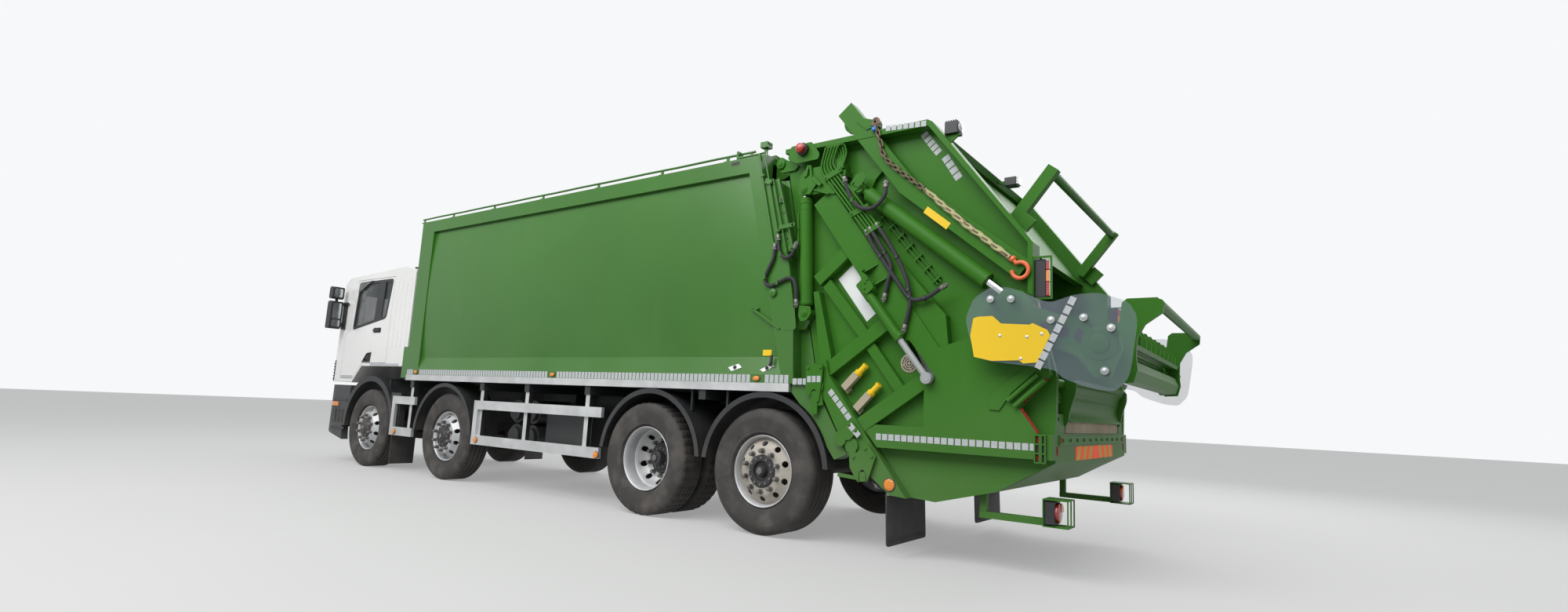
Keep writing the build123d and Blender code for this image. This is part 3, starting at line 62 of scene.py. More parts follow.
class Value:      # a socket that can stand in plain arithmetic
    def __init__(self, finish, socket):
        self.finish, self.socket = finish, socket

    def calc(self, operation, *values):
        return self.finish.make("Math", {"operation": operation}, dict(enumerate(values)))

    def __add__(self, other):
        return self.calc("ADD", self, other)

    def __radd__(self, other):
        return self.calc("ADD", other, self)

    def __sub__(self, other):
        return self.calc("SUBTRACT", self, other)

    def __rsub__(self, other):
        return self.calc("SUBTRACT", other, self)

    def __mul__(self, other):
        return self.calc("MULTIPLY", self, other)

    def __rmul__(self, other):
        return self.calc("MULTIPLY", other, self)

    def __gt__(self, other):
        return self.calc("GREATER_THAN", self, other)

    def __abs__(self):
        return self.calc("ABSOLUTE", self)


class Finish:      # one node tree under construction
    def __init__(self, tree):
        self.tree = tree
        self.tree.nodes.clear()
        self.coords = self.make("TexCoord", out="Object")

    def make(self, kind, settings=None, sockets=None, out=0):
        node = self.tree.nodes.new("ShaderNode" + kind)
        for key, value in (settings or {}).items():
            setattr(node, key, value)
        for key, value in (sockets or {}).items():
            if isinstance(value, Value):
                self.tree.links.new(value.socket, node.inputs[key])
            else:
                node.inputs[key].default_value = value
        return Value(self, node.outputs[out]) if node.outputs else None

    def noise(self, scale, detail=3.0, stretch=(1, 1, 1)):
        spread = self.make("Mapping", {}, {"Vector": self.coords, "Scale": stretch})
        return self.make("TexNoise", {}, {"Vector": spread, "Scale": scale, "Detail": detail})

    def wave(self, scale, direction="X"):
        return self.make("TexWave", {"bands_direction": direction},
                         {"Vector": self.coords, "Scale": scale, "Distortion": 0.0})

    def patch(self, value, low, high):      # 0 below low, 1 above high
        return self.make("MapRange", {"clamp": True}, {"Value": value, "From Min": low, "From Max": high})

    def axis(self, letter):
        return self.make("SeparateXYZ", {}, {"Vector": self.coords}, out=letter)

    def mix(self, share, first, second):
        sockets = {0: share, 6: first, 7: second}
        for key in (6, 7):
            if not isinstance(sockets[key], Value):
                sockets[key] = (*sockets[key], 1)
        return self.make("Mix", {"data_type": "RGBA"}, sockets, out=2)

    def tint(self, cloud, colour, dark, bright, low=0.3, high=0.7):      # a colour that drifts with a noise
        return self.mix(self.patch(cloud, low, high), dim(colour, dark), dim(colour, bright))

    def dusty(self, base, share, colour=None):
        return self.mix(share, base, colour or dustColour)

    def bump(self, height, strength, distance):
        return self.make("Bump", {}, {"Height": height, "Strength": strength, "Distance": distance})

    def close(self, base, rough, relief=None, **sockets):
        sockets = {key.replace("_", " "): value for key, value in sockets.items()}
        if relief:
            sockets["Normal"] = self.bump(*relief)
        shader = self.make("BsdfPrincipled", {}, {"Base Color": base, "Roughness": rough, **sockets})
        self.make("OutputMaterial", {}, {"Surface": shader})


def dim(colour, amount):
    return tuple(channel * amount for channel in colour)


def newFinish(name):
    material = bpy.data.materials.new(name)
    material.use_nodes = True
    return material, Finish(material.node_tree)


dustColour = (0.33, 0.3, 0.25)
tyreDust = (0.15, 0.135, 0.12)
glassHaze = (0.55, 0.56, 0.55)
truckGreen, chassisGrey = (0.036, 0.15, 0.013), (0.03, 0.032, 0.036)
dustBand = 0.9      # the dust of the road fades out over this height
paintLook = {"cloud": 0.7, "streaks": 1.6, "streakStretch": (2.5, 2.5, 0.5), "chips": 38.0, "peel": 240.0, "waves": 2.2}


def paint(name, colour, dust=0.25, dustTop=1.3, rough=0.3, coat=0.35, specular=0.32):
    material, f = newFinish(name)
    look = paintLook
    broad, streaks = f.noise(look["cloud"]), f.noise(look["streaks"], 3.0, look["streakStretch"])
    base = f.tint(broad, colour, 0.92, 1.06)
    base = f.dusty(base, f.patch(streaks, 0.58, 0.85) * (0.22 * dust))
    low = f.patch(f.axis("Z"), dustTop, dustTop - dustBand) * f.patch(broad, 0.35, 0.75) * dust
    base = f.dusty(base, low)
    base = f.dusty(base, f.patch(f.noise(look["chips"], 5.0), 0.7, 0.74) * (dust * 0.8), dim(dustColour, 0.5))
    gloss = rough + f.patch(broad, 0.35, 0.8) * 0.1 + low * 0.3
    peel = f.noise(look["peel"], 1.0) * 0.3 + f.noise(look["waves"], 1.0)
    f.close(base, gloss, (peel, 0.06, 0.003), Coat_Weight=coat * (1 - low), Coat_Roughness=0.14,
            Specular_IOR_Level=specular)
    return material


def plastic(name, colour, grain=900.0, rough=0.5, dust=0.2, dustTop=1.2):
    material, f = newFinish(name)
    broad = f.noise(1.6)
    low = f.patch(f.axis("Z"), dustTop, dustTop - dustBand) * f.patch(f.noise(4.0, 5.0), 0.35, 0.75) * dust
    base = f.dusty(f.tint(broad, colour, 0.8, 1.25), low)
    f.close(base, rough + f.patch(broad, 0.3, 0.8) * 0.15 + low * 0.2, (f.noise(grain, 2.0), 0.25, 0.0006))
    return material


def metal(name, colour, rough=0.35, along=(1, 1, 1), dust=0.15, metallic=0.85):
    material, f = newFinish(name)
    brush, cloud = f.noise(14.0, 4.0, along), f.noise(5.0, 4.0)
    base = f.mix(f.patch(brush, 0.55, 0.85) * 0.35, f.tint(cloud, colour, 0.8, 1.08), dim(colour, 0.6))
    base = f.dusty(base, f.patch(f.noise(1.5, 5.0), 0.55, 0.75) * dust)
    f.close(base, rough + f.patch(cloud, 0.3, 0.8) * 0.2, (brush, 0.12, 0.001), Metallic=metallic)
    return material


def guardFinish(name, bright, dark, legPlane):      # bright rails outside, dark legs behind their plane
    material, f = newFinish(name)
    brush, cloud = f.noise(14.0, 4.0, brushed), f.noise(5.0, 4.0)
    rail = abs(f.axis("Y")) > legPlane
    base = f.mix(f.patch(brush, 0.55, 0.85) * 0.35, f.tint(cloud, bright, 0.82, 1.06), dim(bright, 0.6))
    base = f.mix(rail, f.tint(cloud, dark, 1, 1.8, 0.4, 0.8), base)
    f.close(base, 0.38 + f.patch(cloud, 0.3, 0.8) * 0.2, (brush, 0.12, 0.001), Metallic=rail * 0.5)
    return material


def rubber(name, colour, dust=0.35, top=0.6):
    material, f = newFinish(name)
    cloud = f.noise(6.0, 5.0)
    low = f.patch(cloud, 0.45, 0.7) * f.patch(f.axis("Z"), top + 0.8, 0.0) * dust
    base = f.dusty(f.tint(cloud, colour, 1, 1.9, 0.35, 0.75), low, tyreDust)
    f.close(base, 0.68 + f.patch(cloud, 0.3, 0.8) * 0.2, (f.noise(160.0, 3.0), 0.3, 0.0012))
    return material


def clear(name, colour, alpha, rough=0.05):
    material, f = newFinish(name)
    smears = f.noise(3.0, 4.0, (1, 1, 0.5))
    haze = f.patch(smears, 0.45, 0.8)
    specks = f.patch(f.noise(55.0, 3.0), 0.7, 0.76)
    f.close(f.mix(haze * 0.4, colour, glassHaze), rough + haze * 0.15, (smears, 0.05, 0.003),
            Alpha=alpha + haze * 0.06 + specks * 0.1, IOR=1.45)
    return material


def lens(name, colour, cell=0.012):
    material, f = newFinish(name)
    ribs, cloud = f.wave(1 / cell / 6.28 * 2, "Z"), f.noise(9.0)
    base = f.mix(ribs * 0.35, colour, dim(colour, 0.55))
    base = f.mix(f.patch(cloud, 0.5, 0.8) * 0.2, base, dim(colour, 1.3))
    f.close(base, 0.12 + cloud * 0.1, (ribs, 0.35, 0.003), Coat_Weight=0.6, Coat_Roughness=0.05)
    return material


def reflector(name, colour, paintedGlow=0.0):      # cube corner tape, a fine honeycomb under a clear skin; its emission is a painted glow, though tape is no lamp
    material, f = newFinish(name)
    cells, cloud = f.make("TexVoronoi", {}, {"Vector": f.coords, "Scale": 130.0}), f.noise(11.0)
    base = f.tint(cells, colour, 1, 0.72, 0.1, 0.6)
    base = f.dusty(base, f.patch(cloud, 0.55, 0.85) * 0.14, dim(dustColour, 0.8))
    f.close(base, 0.42 + cloud * 0.2, (cells, 0.3, 0.001), Specular_IOR_Level=0.15, Emission_Color=base,
            Emission_Strength=paintedGlow)
    return material


def cloth(name, colour):
    material, f = newFinish(name)
    weave, cloud = f.wave(180.0) * f.wave(180.0, "Z"), f.noise(7.0)
    base = f.mix(weave, dim(colour, 0.6), dim(colour, 1.3))
    base = f.mix(f.patch(cloud, 0.4, 0.8) * 0.3, base, dim(colour, 0.5))
    f.close(base, 0.85 + cloud * 0.1, (weave, 0.4, 0.001))
    return material


brushed = (1, 30, 30)
greenPaint = paint("greenPaint", truckGreen, dust=0.15, dustTop=1.9, coat=0.18)
tailPaint = paint("tailPaint", dim(truckGreen, 1.08), dust=0.17, dustTop=1.5, rough=0.42, coat=0.03, specular=0.12)
whitePaint = paint("whitePaint", (0.8, 0.8, 0.78), dust=0.18, dustTop=1.7, rough=0.22, coat=0.5)
greyPaint = paint("greyPaint", (0.36, 0.38, 0.39), dust=0.45, dustTop=3.0, rough=0.4)
chassisPaint = paint("chassisPaint", dim(chassisGrey, 0.8), dust=0.14, dustTop=1.2, rough=0.45, coat=0.1)
yellowPaint = paint("yellowPaint", (0.86, 0.56, 0.01), dust=0.1)
whiteFilm = paint("whiteFilm", (0.78, 0.8, 0.8), dust=0.1)
hookPaint = paint("hookPaint", (0.85, 0.16, 0.05), dustTop=2.6, rough=0.4)
tanPaint = paint("tanPaint", (0.42, 0.36, 0.25), dust=0.3, dustTop=2.0, rough=0.45)
darkPlastic = plastic("darkPlastic", (0.04, 0.043, 0.049))
blackPlastic = plastic("blackPlastic", (0.016, 0.017, 0.019), rough=0.45)
blueTie = plastic("blueTie", (0.02, 0.22, 0.62), rough=0.4, dust=0.1)
tanBoard = plastic("tanBoard", (0.48, 0.4, 0.28), grain=60.0, rough=0.8, dust=0.5, dustTop=3.0)
guardMetal = guardFinish("guardMetal", (0.6, 0.61, 0.61), (0.014, 0.014, 0.015), 1.2145)
bareMetal = metal("bareMetal", (0.55, 0.56, 0.57), rough=0.32)
castMetal = metal("castMetal", (0.085, 0.08, 0.075), rough=0.55, dust=0.3, metallic=0.4)
darkSteel = metal("darkSteel", (0.2, 0.19, 0.18), rough=0.42, dust=0.25, metallic=0.7)
chainSteel = metal("chainSteel", (0.17, 0.125, 0.09), rough=0.5, dust=0.2, metallic=0.7)
rodMetal = metal("rodMetal", (0.82, 0.83, 0.84), rough=0.1, along=brushed, dust=0.05, metallic=1.0)
tankMetal = metal("tankMetal", (0.7, 0.71, 0.72), rough=0.3, along=brushed, metallic=0.8)
mirrorFace = metal("mirrorFace", (0.8, 0.82, 0.84), rough=0.03, along=brushed, dust=0.02, metallic=1.0)
rimSilver = metal("rimSilver", (0.56, 0.57, 0.575), rough=0.38, dust=0.35, metallic=0.25)
rimDusty = metal("rimDusty", (0.5, 0.46, 0.4), rough=0.6, dust=0.75, metallic=0.1)
hubCast = metal("hubCast", (0.045, 0.045, 0.048), rough=0.5, dust=0.35, metallic=0.3)
tyreRubber = rubber("tyreRubber", (0.032, 0.029, 0.027), dust=0.5, top=0.9)
flapRubber = rubber("flapRubber", (0.03, 0.03, 0.03))
hoseRubber = rubber("hoseRubber", (0.016, 0.016, 0.018), dust=0.1)
cabGlass = clear("cabGlass", (0.03, 0.045, 0.042), 0.42)
sheetGlass = clear("sheetGlass", (0.22, 0.27, 0.33), 0.21, rough=0.06)
visorSheet = clear("visorSheet", (0.05, 0.055, 0.06), 0.75)
whiteTape = reflector("whiteTape", (0.62, 0.64, 0.66))
redTape = reflector("redTape", (0.34, 0.018, 0.016))
# the signal and yellow tapes glow with painted light
signalTape = reflector("signalTape", (0.9, 0.085, 0.02), paintedGlow=0.35)
# yellow tape given the ochre it shows in shade: painted shade in its base colour
shadedYellowTape = reflector("shadedYellowTape", (0.62, 0.4, 0.035), paintedGlow=0.15)
redLens = lens("redLens", (0.45, 0.008, 0.006))
amberLens = lens("amberLens", (0.85, 0.26, 0.01))
clearLens = lens("clearLens", (0.6, 0.62, 0.64), cell=0.03)
seatCloth = cloth("seatCloth", (0.1, 0.11, 0.125))
sleeveCloth = cloth("sleeveCloth", (0.62, 0.6, 0.3))

finishOf = {
    "chassis_frame": chassisPaint, "engine_block": castMetal, "front_bumper": darkPlastic, "headlamps": clearLens,
    "mudguards": blackPlastic, "side_guards": guardMetal, "air_tanks_and_battery": chassisPaint, "fuel_tank": tankMetal,
    "steered_axles": castMetal, "rear_axles": castMetal, "body_shell": greenPaint, "cab_shell": whitePaint,
    "windscreen": cabGlass, "grille": darkPlastic, "sun_visor": visorSheet, "dashboard": darkPlastic,
    "seats": seatCloth,
    "mirrors": blackPlastic, "hoist_chains": bareMetal, "rear_lamps": redLens, "rear_flaps": flapRubber,
    "tailgate_rods": rodMetal, "lift_rods": rodMetal, "carriage": greyPaint, "packer_blade": greyPaint,
    "lift_shields": sheetGlass,
}
for name in ("ejector_plate", "tailgate_shell", "tailgate_framing", "carriage_barrels", "chain_beams", "bin_stop_frame",
             "tailgate_barrels", "lift_arms", "comb_carrier", "lift_barrels"):
    finishOf[name] = tailPaint
for side in sides:
    finishOf[f"door_{side}"] = whitePaint
    finishOf[f"door_glass_{side}"] = cabGlass
    for number in "12":
        finishOf[f"knuckle_{number}_{side}"] = castMetal
    for number in "1234":
        finishOf[f"tyre_{number}_{side}"] = tyreRubber
        finishOf[f"wheel_{number}_{side}"] = rimSilver
for name, obj in nodes.items():
    for slot in obj.material_slots:
        slot.material = finishOf[name]
print("finishes on", len(finishOf), "nodes")


# Mesh building

def angles(count, start=0.0):      # evenly spaced angles of a full turn
    return [2 * math.pi * (i + start) / count for i in range(count)]


def loop(rings, count, closed=False):      # faces between rings of points that follow one another
    faces = []
    for k in range(rings if closed else rings - 1):
        a, b = k * count, (k + 1) % rings * count
        faces += [(a + i, a + (i + 1) % count, b + (i + 1) % count, b + i) for i in range(count)]
    return faces


def caps(rings, count):
    return [tuple(range(count))[::-1], tuple(range((rings - 1) * count, rings * count))]


class Form:      # vertices and faces of one piece, shape by shape, with the left side mirrored by its sign
    def __init__(self, name):
        self.name, self.sign, self.mark = name, 1, 0
        self.points, self.faces, self.marks = [], [], []

    def mirror(self, place):
        x, y, z = place
        return Vector((x, self.sign * y, z))

    def add(self, points, faces):
        start = len(self.points)
        self.points += [tuple(p) for p in points]
        self.faces += [tuple(start + i for i in face) for face in faces]
        self.marks += [self.mark] * len(faces)

    def prism(self, outline, push):
        near = [self.mirror(p) for p in outline]
        self.add([*near, *[p + self.mirror(push) for p in near]], [*caps(2, len(near)), *loop(2, len(near))])

    def slab(self, x0, x1, y0, y1, z0, z1):
        self.plate([(x0, z0), (x1, z0), (x1, z1), (x0, z1)], y0, y1)

    def plate(self, outline, y0, y1):
        self.prism([at(x, y0, z) for x, z in outline], (0, y1 - y0, 0))

    def bar(self, start, end, wide, y0, y1):      # a flat bar between two points of a side plane
        start, end = Vector(start), Vector(end)
        ahead = (end - start).normalized()
        across = Vector((-ahead.y, ahead.x)) * wide / 2
        self.plate([start - across, end - across, end + across, start + across], y0, y1)

    def tiles(self, start, end, wide, count, gap, y):      # tape squares in a row on a side plane
        start, end = Vector(start), Vector(end)
        step, inset = (end - start) / count, (end - start).normalized() * gap / 2
        for i in range(count):
            self.bar(start + step * i + inset, start + step * (i + 1) - inset, wide, y, y + tapeThick)

    def lathe(self, profile, origin, direction=(0, 1, 0), count=24):      # profile of (radius, distance along)
        origin, direction = self.mirror(origin), self.mirror(direction).normalized()
        first = direction.orthogonal().normalized()
        second, points = direction.cross(first), []
        for radius, distance in profile:
            centre = origin + direction * distance
            points += [centre + first * radius * math.cos(t) + second * radius * math.sin(t) for t in angles(count)]
        ends = [cap for cap, (radius, _) in zip(caps(len(profile), count), (profile[0], profile[-1])) if radius > 0]
        self.add(points, [*loop(len(profile), count), *ends])

    def turn(self, profile, origin, count):      # the same about a wheel's axis, with the profile closed on itself
        points, origin, direction = [], self.mirror(origin), self.mirror((0, 1, 0))
        first = direction.orthogonal().normalized()
        second = direction.cross(first)
        for t in angles(count):
            out = first * math.cos(t) + second * math.sin(t)
            points += [origin + direction * distance + out * radius for radius, distance in profile]
        self.add(points, loop(count, len(profile), closed=True))

    def bolt(self, x, y, z, size=0.012, long=0.01):
        self.lathe([(size * 1.5, 0), (size * 1.5, long * 0.18), (size, long * 0.2), (size, long * 0.85),
                    (size * 0.8, long), (0, long)], at(x, y, z), count=6)

    def oval(self, x, z, y, radius, tall=1.0, proud=0.01):      # a round lens with its rim on a side plane
        rings, count = ((1.0, 0.0), (1.0, 0.45), (0.93, 0.72), (0.75, 0.9), (0.42, 1.0)), 24
        for mark, base, size, rise in ((1, y, radius * 1.18, proud * 0.5), (0, y + proud * 0.35, radius, proud)):
            self.mark = mark
            points = [at(x + size * share * math.cos(t), base + rise * lift, z + size * tall * share * math.sin(t))
                      for share, lift in rings for t in angles(count)]
            self.add([self.mirror(p) for p in points], [*loop(len(rings), count), *caps(len(rings), count)])

    def ring(self, outer, inner, push):      # a flat ring between two outlines
        outlines, count = [self.mirror(p) for p in [*outer, *inner]], len(outer)
        far, a, b, c = self.mirror(push), count, 2 * count, 3 * count
        faces = []
        for i in range(count):
            j = (i + 1) % count
            faces += [(i, j, a + j, a + i), (b + i, c + i, c + j, b + j), (i, b + i, b + j, j),
                      (a + i, a + j, c + j, c + i)]
        self.add([*outlines, *[p + far for p in outlines]], faces)

    def rod(self, start, end, radius, count=16):
        long, soft = (end - start).length, radius * 0.12
        self.lathe(collar(radius, long, soft), start, end - start, count)

    def tube(self, path, radius, count=10):
        path = [self.mirror(p) for p in path]
        side, points = None, []
        for i, place in enumerate(path):
            ahead = (path[min(i + 1, len(path) - 1)] - path[max(i - 1, 0)]).normalized()
            side = ahead.orthogonal().normalized() if side is None else (side - ahead * side.dot(ahead)).normalized()
            other = ahead.cross(side)
            points += [place + side * radius * math.cos(t) + other * radius * math.sin(t) for t in angles(count)]
        self.add(points, [*loop(len(path), count), *caps(len(path), count)])

    def fitting(self, place, ahead, radius):      # crimped collar and hex nut at a hose's end
        self.lathe([(radius * 1.25, 0), (radius * 1.45, 0.004), (radius * 1.45, 0.03), (radius * 1.2, 0.034),
                    (radius * 1.2, 0.036), (0, 0.036)], place, ahead, 14)
        self.lathe([(radius * 1.55, 0.036), (radius * 1.55, 0.052), (radius * 0.9, 0.054), (radius * 0.9, 0.066),
                    (0, 0.066)],
                   place, ahead, 6)

    def fittings(self, path, radius, back=0.03):      # one at each end of a hose
        first, last = path[1] - path[0], path[-1] - path[-2]
        self.fitting(path[0] - first.normalized() * back, first, radius)
        self.fitting(path[-1], last, radius)

    def build(self, materials, body, slot, bevel=0.0, segments=2, sharpAngle=0.6):
        mesh = bpy.data.meshes.new(self.name)
        mesh.from_pydata(self.points, [], self.faces)
        for material in materials if isinstance(materials, list) else [materials]:
            mesh.materials.append(material)
        for face, mark in zip(mesh.polygons, self.marks):
            face.material_index = mark
        bm = bmesh.new()
        bm.from_mesh(mesh)
        bmesh.ops.remove_doubles(bm, verts=bm.verts, dist=0.00002)
        bmesh.ops.recalc_face_normals(bm, faces=bm.faces)
        for face in bm.faces:
            face.smooth = True
        for edge in bm.edges:
            edge.smooth = len(edge.link_faces) == 2 and edge.calc_face_angle(3.2) < sharpAngle
        bm.to_mesh(mesh)
        bm.free()
        obj = bpy.data.objects.new(self.name, mesh)
        bpy.context.scene.collection.objects.link(obj)
        if bevel:
            modifier = obj.modifiers.new("softEdges", "BEVEL")
            modifier.width, modifier.segments = bevel, segments
            modifier.limit_method, modifier.angle_limit = "ANGLE", 0.7
            modifier.harden_normals = True
        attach(obj, body)
        return obj


# a form for each side, built when its shapes are in
def pairOf(name, materials, body, slot, replaces=None, **settings):
    for side, sign in sides.items():
        form = Form(f"{name}_{side}")
        form.sign = sign
        yield form
        obj = form.build(materials, body.format(side), slot, **settings)
        if replaces:
            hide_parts(replaces.format(side))


def bothIn(name, *look, replaces=None, **settings):      # one form for both sides, built last
    form = Form(name)
    for sign in sides.values():
        form.sign = sign
        yield form
    obj = form.build(*look, **settings)
    if replaces:
        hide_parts(replaces)


def collar(radius, long, soft):      # profile of a drum with softened edges
    return [(radius - soft, 0), (radius, soft), (radius, long - soft), (radius - soft, long)]


def washerBolt(wide, size, long):      # profile of a bolt head on its washer
    return [(wide, 0), (wide, 0.002), (size, 0.003), (size, long - 0.001), (0, long)]


def arc(a, b, c, t):      # a point on the curve that cuts corner b between a and c
    return a * (1 - t) ** 2 + b * 2 * t * (1 - t) + c * t * t


def smoothPath(points, steps=6):      # a rounded path through the given points
    points = [Vector(p) for p in points]
    points = [points[0] * 2 - points[1], *points, points[-1] * 2 - points[-2]]
    path = []
    for a, b, c, d in zip(points, points[1:], points[2:], points[3:]):
        for t in (i / steps for i in range(steps)):
            bend, twist = 2 * a - 5 * b + 4 * c - d, 3 * b - a - 3 * c + d
            path.append(0.5 * (2 * b + (c - a) * t + bend * t ** 2 + twist * t ** 3))
    return [*path, points[-2]]


def roundPath(points, radius, steps=5):      # straight runs with rounded corners
    points = [Vector(p) for p in points]
    path = [points[0]]
    for a, b, c in zip(points, points[1:], points[2:]):
        reach = min(radius, (b - a).length * 0.45, (c - b).length * 0.45)
        start, end = b + (a - b).normalized() * reach, b + (c - b).normalized() * reach
        path += [arc(start, b, end, i / steps) for i in range(steps + 1)]
    return [*path, points[-1]]


def bends(points):      # each corner of an outline with its two neighbours
    points = [Vector(p) for p in points]
    return zip(points[-1:] + points[:-1], points, points[1:] + points[:1])


def roundOutline(points, radius, steps=5):
    outline = []
    for a, b, c in bends(points):
        start, end = b + (a - b).normalized() * radius, b + (c - b).normalized() * radius
        outline += [arc(start, b, end, k / steps) for k in range(steps + 1)]
    return outline


def curveOutline(points, steps=4, pull=0.55):      # an outline with its corners drawn into long curves
    return [arc(b.lerp(a, pull / 2), b, b.lerp(c, pull / 2), k / steps)
            for a, b, c in bends(points) for k in range(steps + 1)]


def rectangle(a0, a1, b0, b1):
    return [(a0, b0), (a1, b0), (a1, b1), (a0, b1)]


# Tyres, rims, nuts and hubs

tyreLook = {
    "count": 168, "grooveDepth": 0.013, "grooveHalf": 0.005, "blockDepth": 0.009, "blockEvery": 4, "outside": 0.5195,
    "grooves": (-0.25, -0.085, 0.085, 0.25), "shoulder": ((0.003, 0.385), (0.0, 0.365)),
    "bead": ((0.2856, 0.0), (0.303, 0.001), (0.309, 0.008)),      # radius, distance past the rim
    # radius, share of the width
    "wall": ((0.318, 0.437), (0.322, 0.446), (0.33, 0.446), (0.345, 0.466), (0.374, 0.481), (0.41, 0.495),
             (0.44, 0.4985), (0.452, 0.4985), (0.456, 0.494), (0.474, 0.486), (0.4966, 0.453), (0.509, 0.42)),
}
nutLook = {"ring": 0.1675, "count": 10, "size": 0.0185, "long": 0.052}
rimLook = {
    "holes": 10, "cells": 8, "inside": 0.273, "well": 0.28, "count": 96, "bore": 0.118, "wall": 0.013,
    # radius, distance short of the edge
    "bead": ((0.273, 0.045), (0.276, 0.03), (0.281, 0.014), (0.2875, 0.003), (0.293, 0.0), (0.298, 0.004),
             (0.298, 0.01), (0.294, 0.0138), (0.288, 0.0145), (0.2855, 0.018), (0.2855, 0.06), (0.28, 0.075)),
}
axleLook = {      # places are distances from the truck's middle, the others from the wheel's own middle
    "1": {
        "place": 1.036, "bead": 0.103, "nutFace": 0.152, "bolts": (0.098, 10, 0.168), "width": 0.236, "dusty": 0,
        "disc": ((0.272, 0.058), (0.262, 0.066), (0.245, 0.092), (0.228, 0.112), (0.208, 0.142), (0.196, 0.152),
                 (0.118, 0.152)),
        "zone": (0.201, 0.25), "hole": (0.0225, 0.12),
        "hub": ((0.135, 0.14), (0.135, 0.158), (0.128, 0.166), (0.086, 0.17), (0.074, 0.176), (0.066, 0.182),
                (0.06, 0.187), (0.0, 0.188)),
    },
    "3": {
        "place": 1.09, "twin": 0.75, "tyreWidth": 0.284, "bead": 0.093, "nutFace": -0.128, "bolts": (0.089, 12, -0.094),
        "width": 0.216, "dusty": 0,
        "disc": ((0.272, -0.02), (0.262, -0.03), (0.242, -0.072), (0.215, -0.112), (0.192, -0.124), (0.175, -0.128),
                 (0.118, -0.128)),
        "zone": (0.2, 0.252), "hole": (0.024, 0.125),
        "hub": ((0.15, -0.14), (0.15, -0.122), (0.14, -0.112), (0.112, -0.11), (0.108, -0.098), (0.1, -0.094),
                (0.07, -0.092), (0.068, -0.028), (0.06, -0.02), (0.0, -0.019)),
    },
    "4": {
        "place": 1.034, "bead": 0.135, "nutFace": 0.15, "bolts": (0.109, 12, 0.166), "width": 0.3, "dusty": 2,
        "disc": ((0.272, 0.085), (0.262, 0.092), (0.245, 0.11), (0.228, 0.124), (0.208, 0.143), (0.196, 0.15),
                 (0.118, 0.15)),
        "zone": (0.201, 0.25), "hole": (0.0225, 0.12),
        "hub": ((0.135, 0.138), (0.135, 0.156), (0.128, 0.164), (0.092, 0.168), (0.084, 0.166), (0.074, 0.142),
                (0.052, 0.138), (0.048, 0.152), (0.04, 0.178), (0.0, 0.18)),
    },
}
axleLook["2"] = axleLook["1"]


def tyreProfile(width, rimGap):      # (radius, offset, part of a block) from bead to bead
    look, top = tyreLook, tyreLook["outside"]
    side = [(radius, rimGap + gap, False) for radius, gap in look["bead"]]
    side += [(radius, share * width, False) for radius, share in look["wall"]]
    side += [(top - drop, share * width, True) for drop, share in look["shoulder"]]
    band, half, floor = [], look["grooveHalf"], top - look["grooveDepth"]
    for centre in (place * width for place in look["grooves"]):
        band += [(top, centre - half, True), (floor, centre - half * 0.6, False), (floor, centre + half * 0.6, False),
                 (top, centre + half, True)]
    return [(r, -o, b) for r, o, b in side] + band + [(r, o, b) for r, o, b in reversed(side)]


def addTyre(form, station, y, width, rimGap, blocks):
    profile, count, points = tyreProfile(width, rimGap), tyreLook["count"], []
    for i, t in enumerate(angles(count)):
        drop = tyreLook["blockDepth"] if blocks and i % tyreLook["blockEvery"] == 0 else 0
        for radius, offset, part in profile:
            reach = radius - drop * part
            points.append(form.mirror(at(station, y, hubHeight) + spoke(reach, t, offset)))
    form.add(points, loop(count, len(profile), closed=True))


def addBarrel(form, centre, width):
    look, edge = rimLook, width / 2
    half = [(look["inside"], 0.0), *[(radius, edge - short) for radius, short in look["bead"]], (look["well"], 0.0)]
    form.turn(half + [(r, -o) for r, o in half[::-1]], centre, look["count"])


def addDisc(form, centre, facing, look):      # a dished disc with rounded hand holes in its zone
    profile, wall, (low, high) = look["disc"], rimLook["wall"], look["zone"]
    middle, step = (low + high) / 2, 2 * math.pi / rimLook["holes"]

    def spot(radius, turn, back):
        for (r0, o0), (r1, o1) in zip(profile, profile[1:]):
            if r1 <= radius <= r0:
                depth = o0 + (o1 - o0) * (r0 - radius) / (r0 - r1)
        return form.mirror(centre + spoke(radius, turn, facing * (depth - back)))

    def strip(first, second):      # faces between two open rows of points
        count = len(first)
        form.add([*first, *second], [(i, i + 1, count + i + 1, count + i) for i in range(count - 1)])

    def sheet(first, second):      # two rows of (radius, turn), joined front and back
        for back in (0, wall):
            strip([spot(r, t, back) for r, t in first], [spot(r, t, back) for r, t in second])

    def lip(row):
        strip([spot(r, t, 0) for r, t in row], [spot(r, t, wall) for r, t in row])

    for start in angles(rimLook["holes"]):
        turns = [start + step * k / rimLook["cells"] for k in range(rimLook["cells"] + 1)]
        outer = [r for r, _ in profile if r > high + 0.002] + [high]
        inner = [low] + [r for r, _ in profile if r < low - 0.002]
        for radii in (outer, inner):
            for a, b in zip(radii, radii[1:]):
                sheet([(a, t) for t in turns], [(b, t) for t in turns])
        for radius in (profile[0][0], profile[-1][0]):
            lip([(radius, t) for t in turns])
        border = [*[(high, t) for t in turns], (middle, turns[-1]), *[(low, t) for t in turns[::-1]],
                  (middle, turns[0])]
        centreTurn, hole = start + step / 2, []
        for radius, turn in border:
            angle = math.atan2(radius - middle, (turn - centreTurn) * middle)
            hole.append((middle + look["hole"][0] * math.sin(angle), centreTurn + look["hole"][1] * math.cos(angle)))
        sheet([*border, border[0]], [*hole, hole[0]])
        lip([*hole, hole[0]])


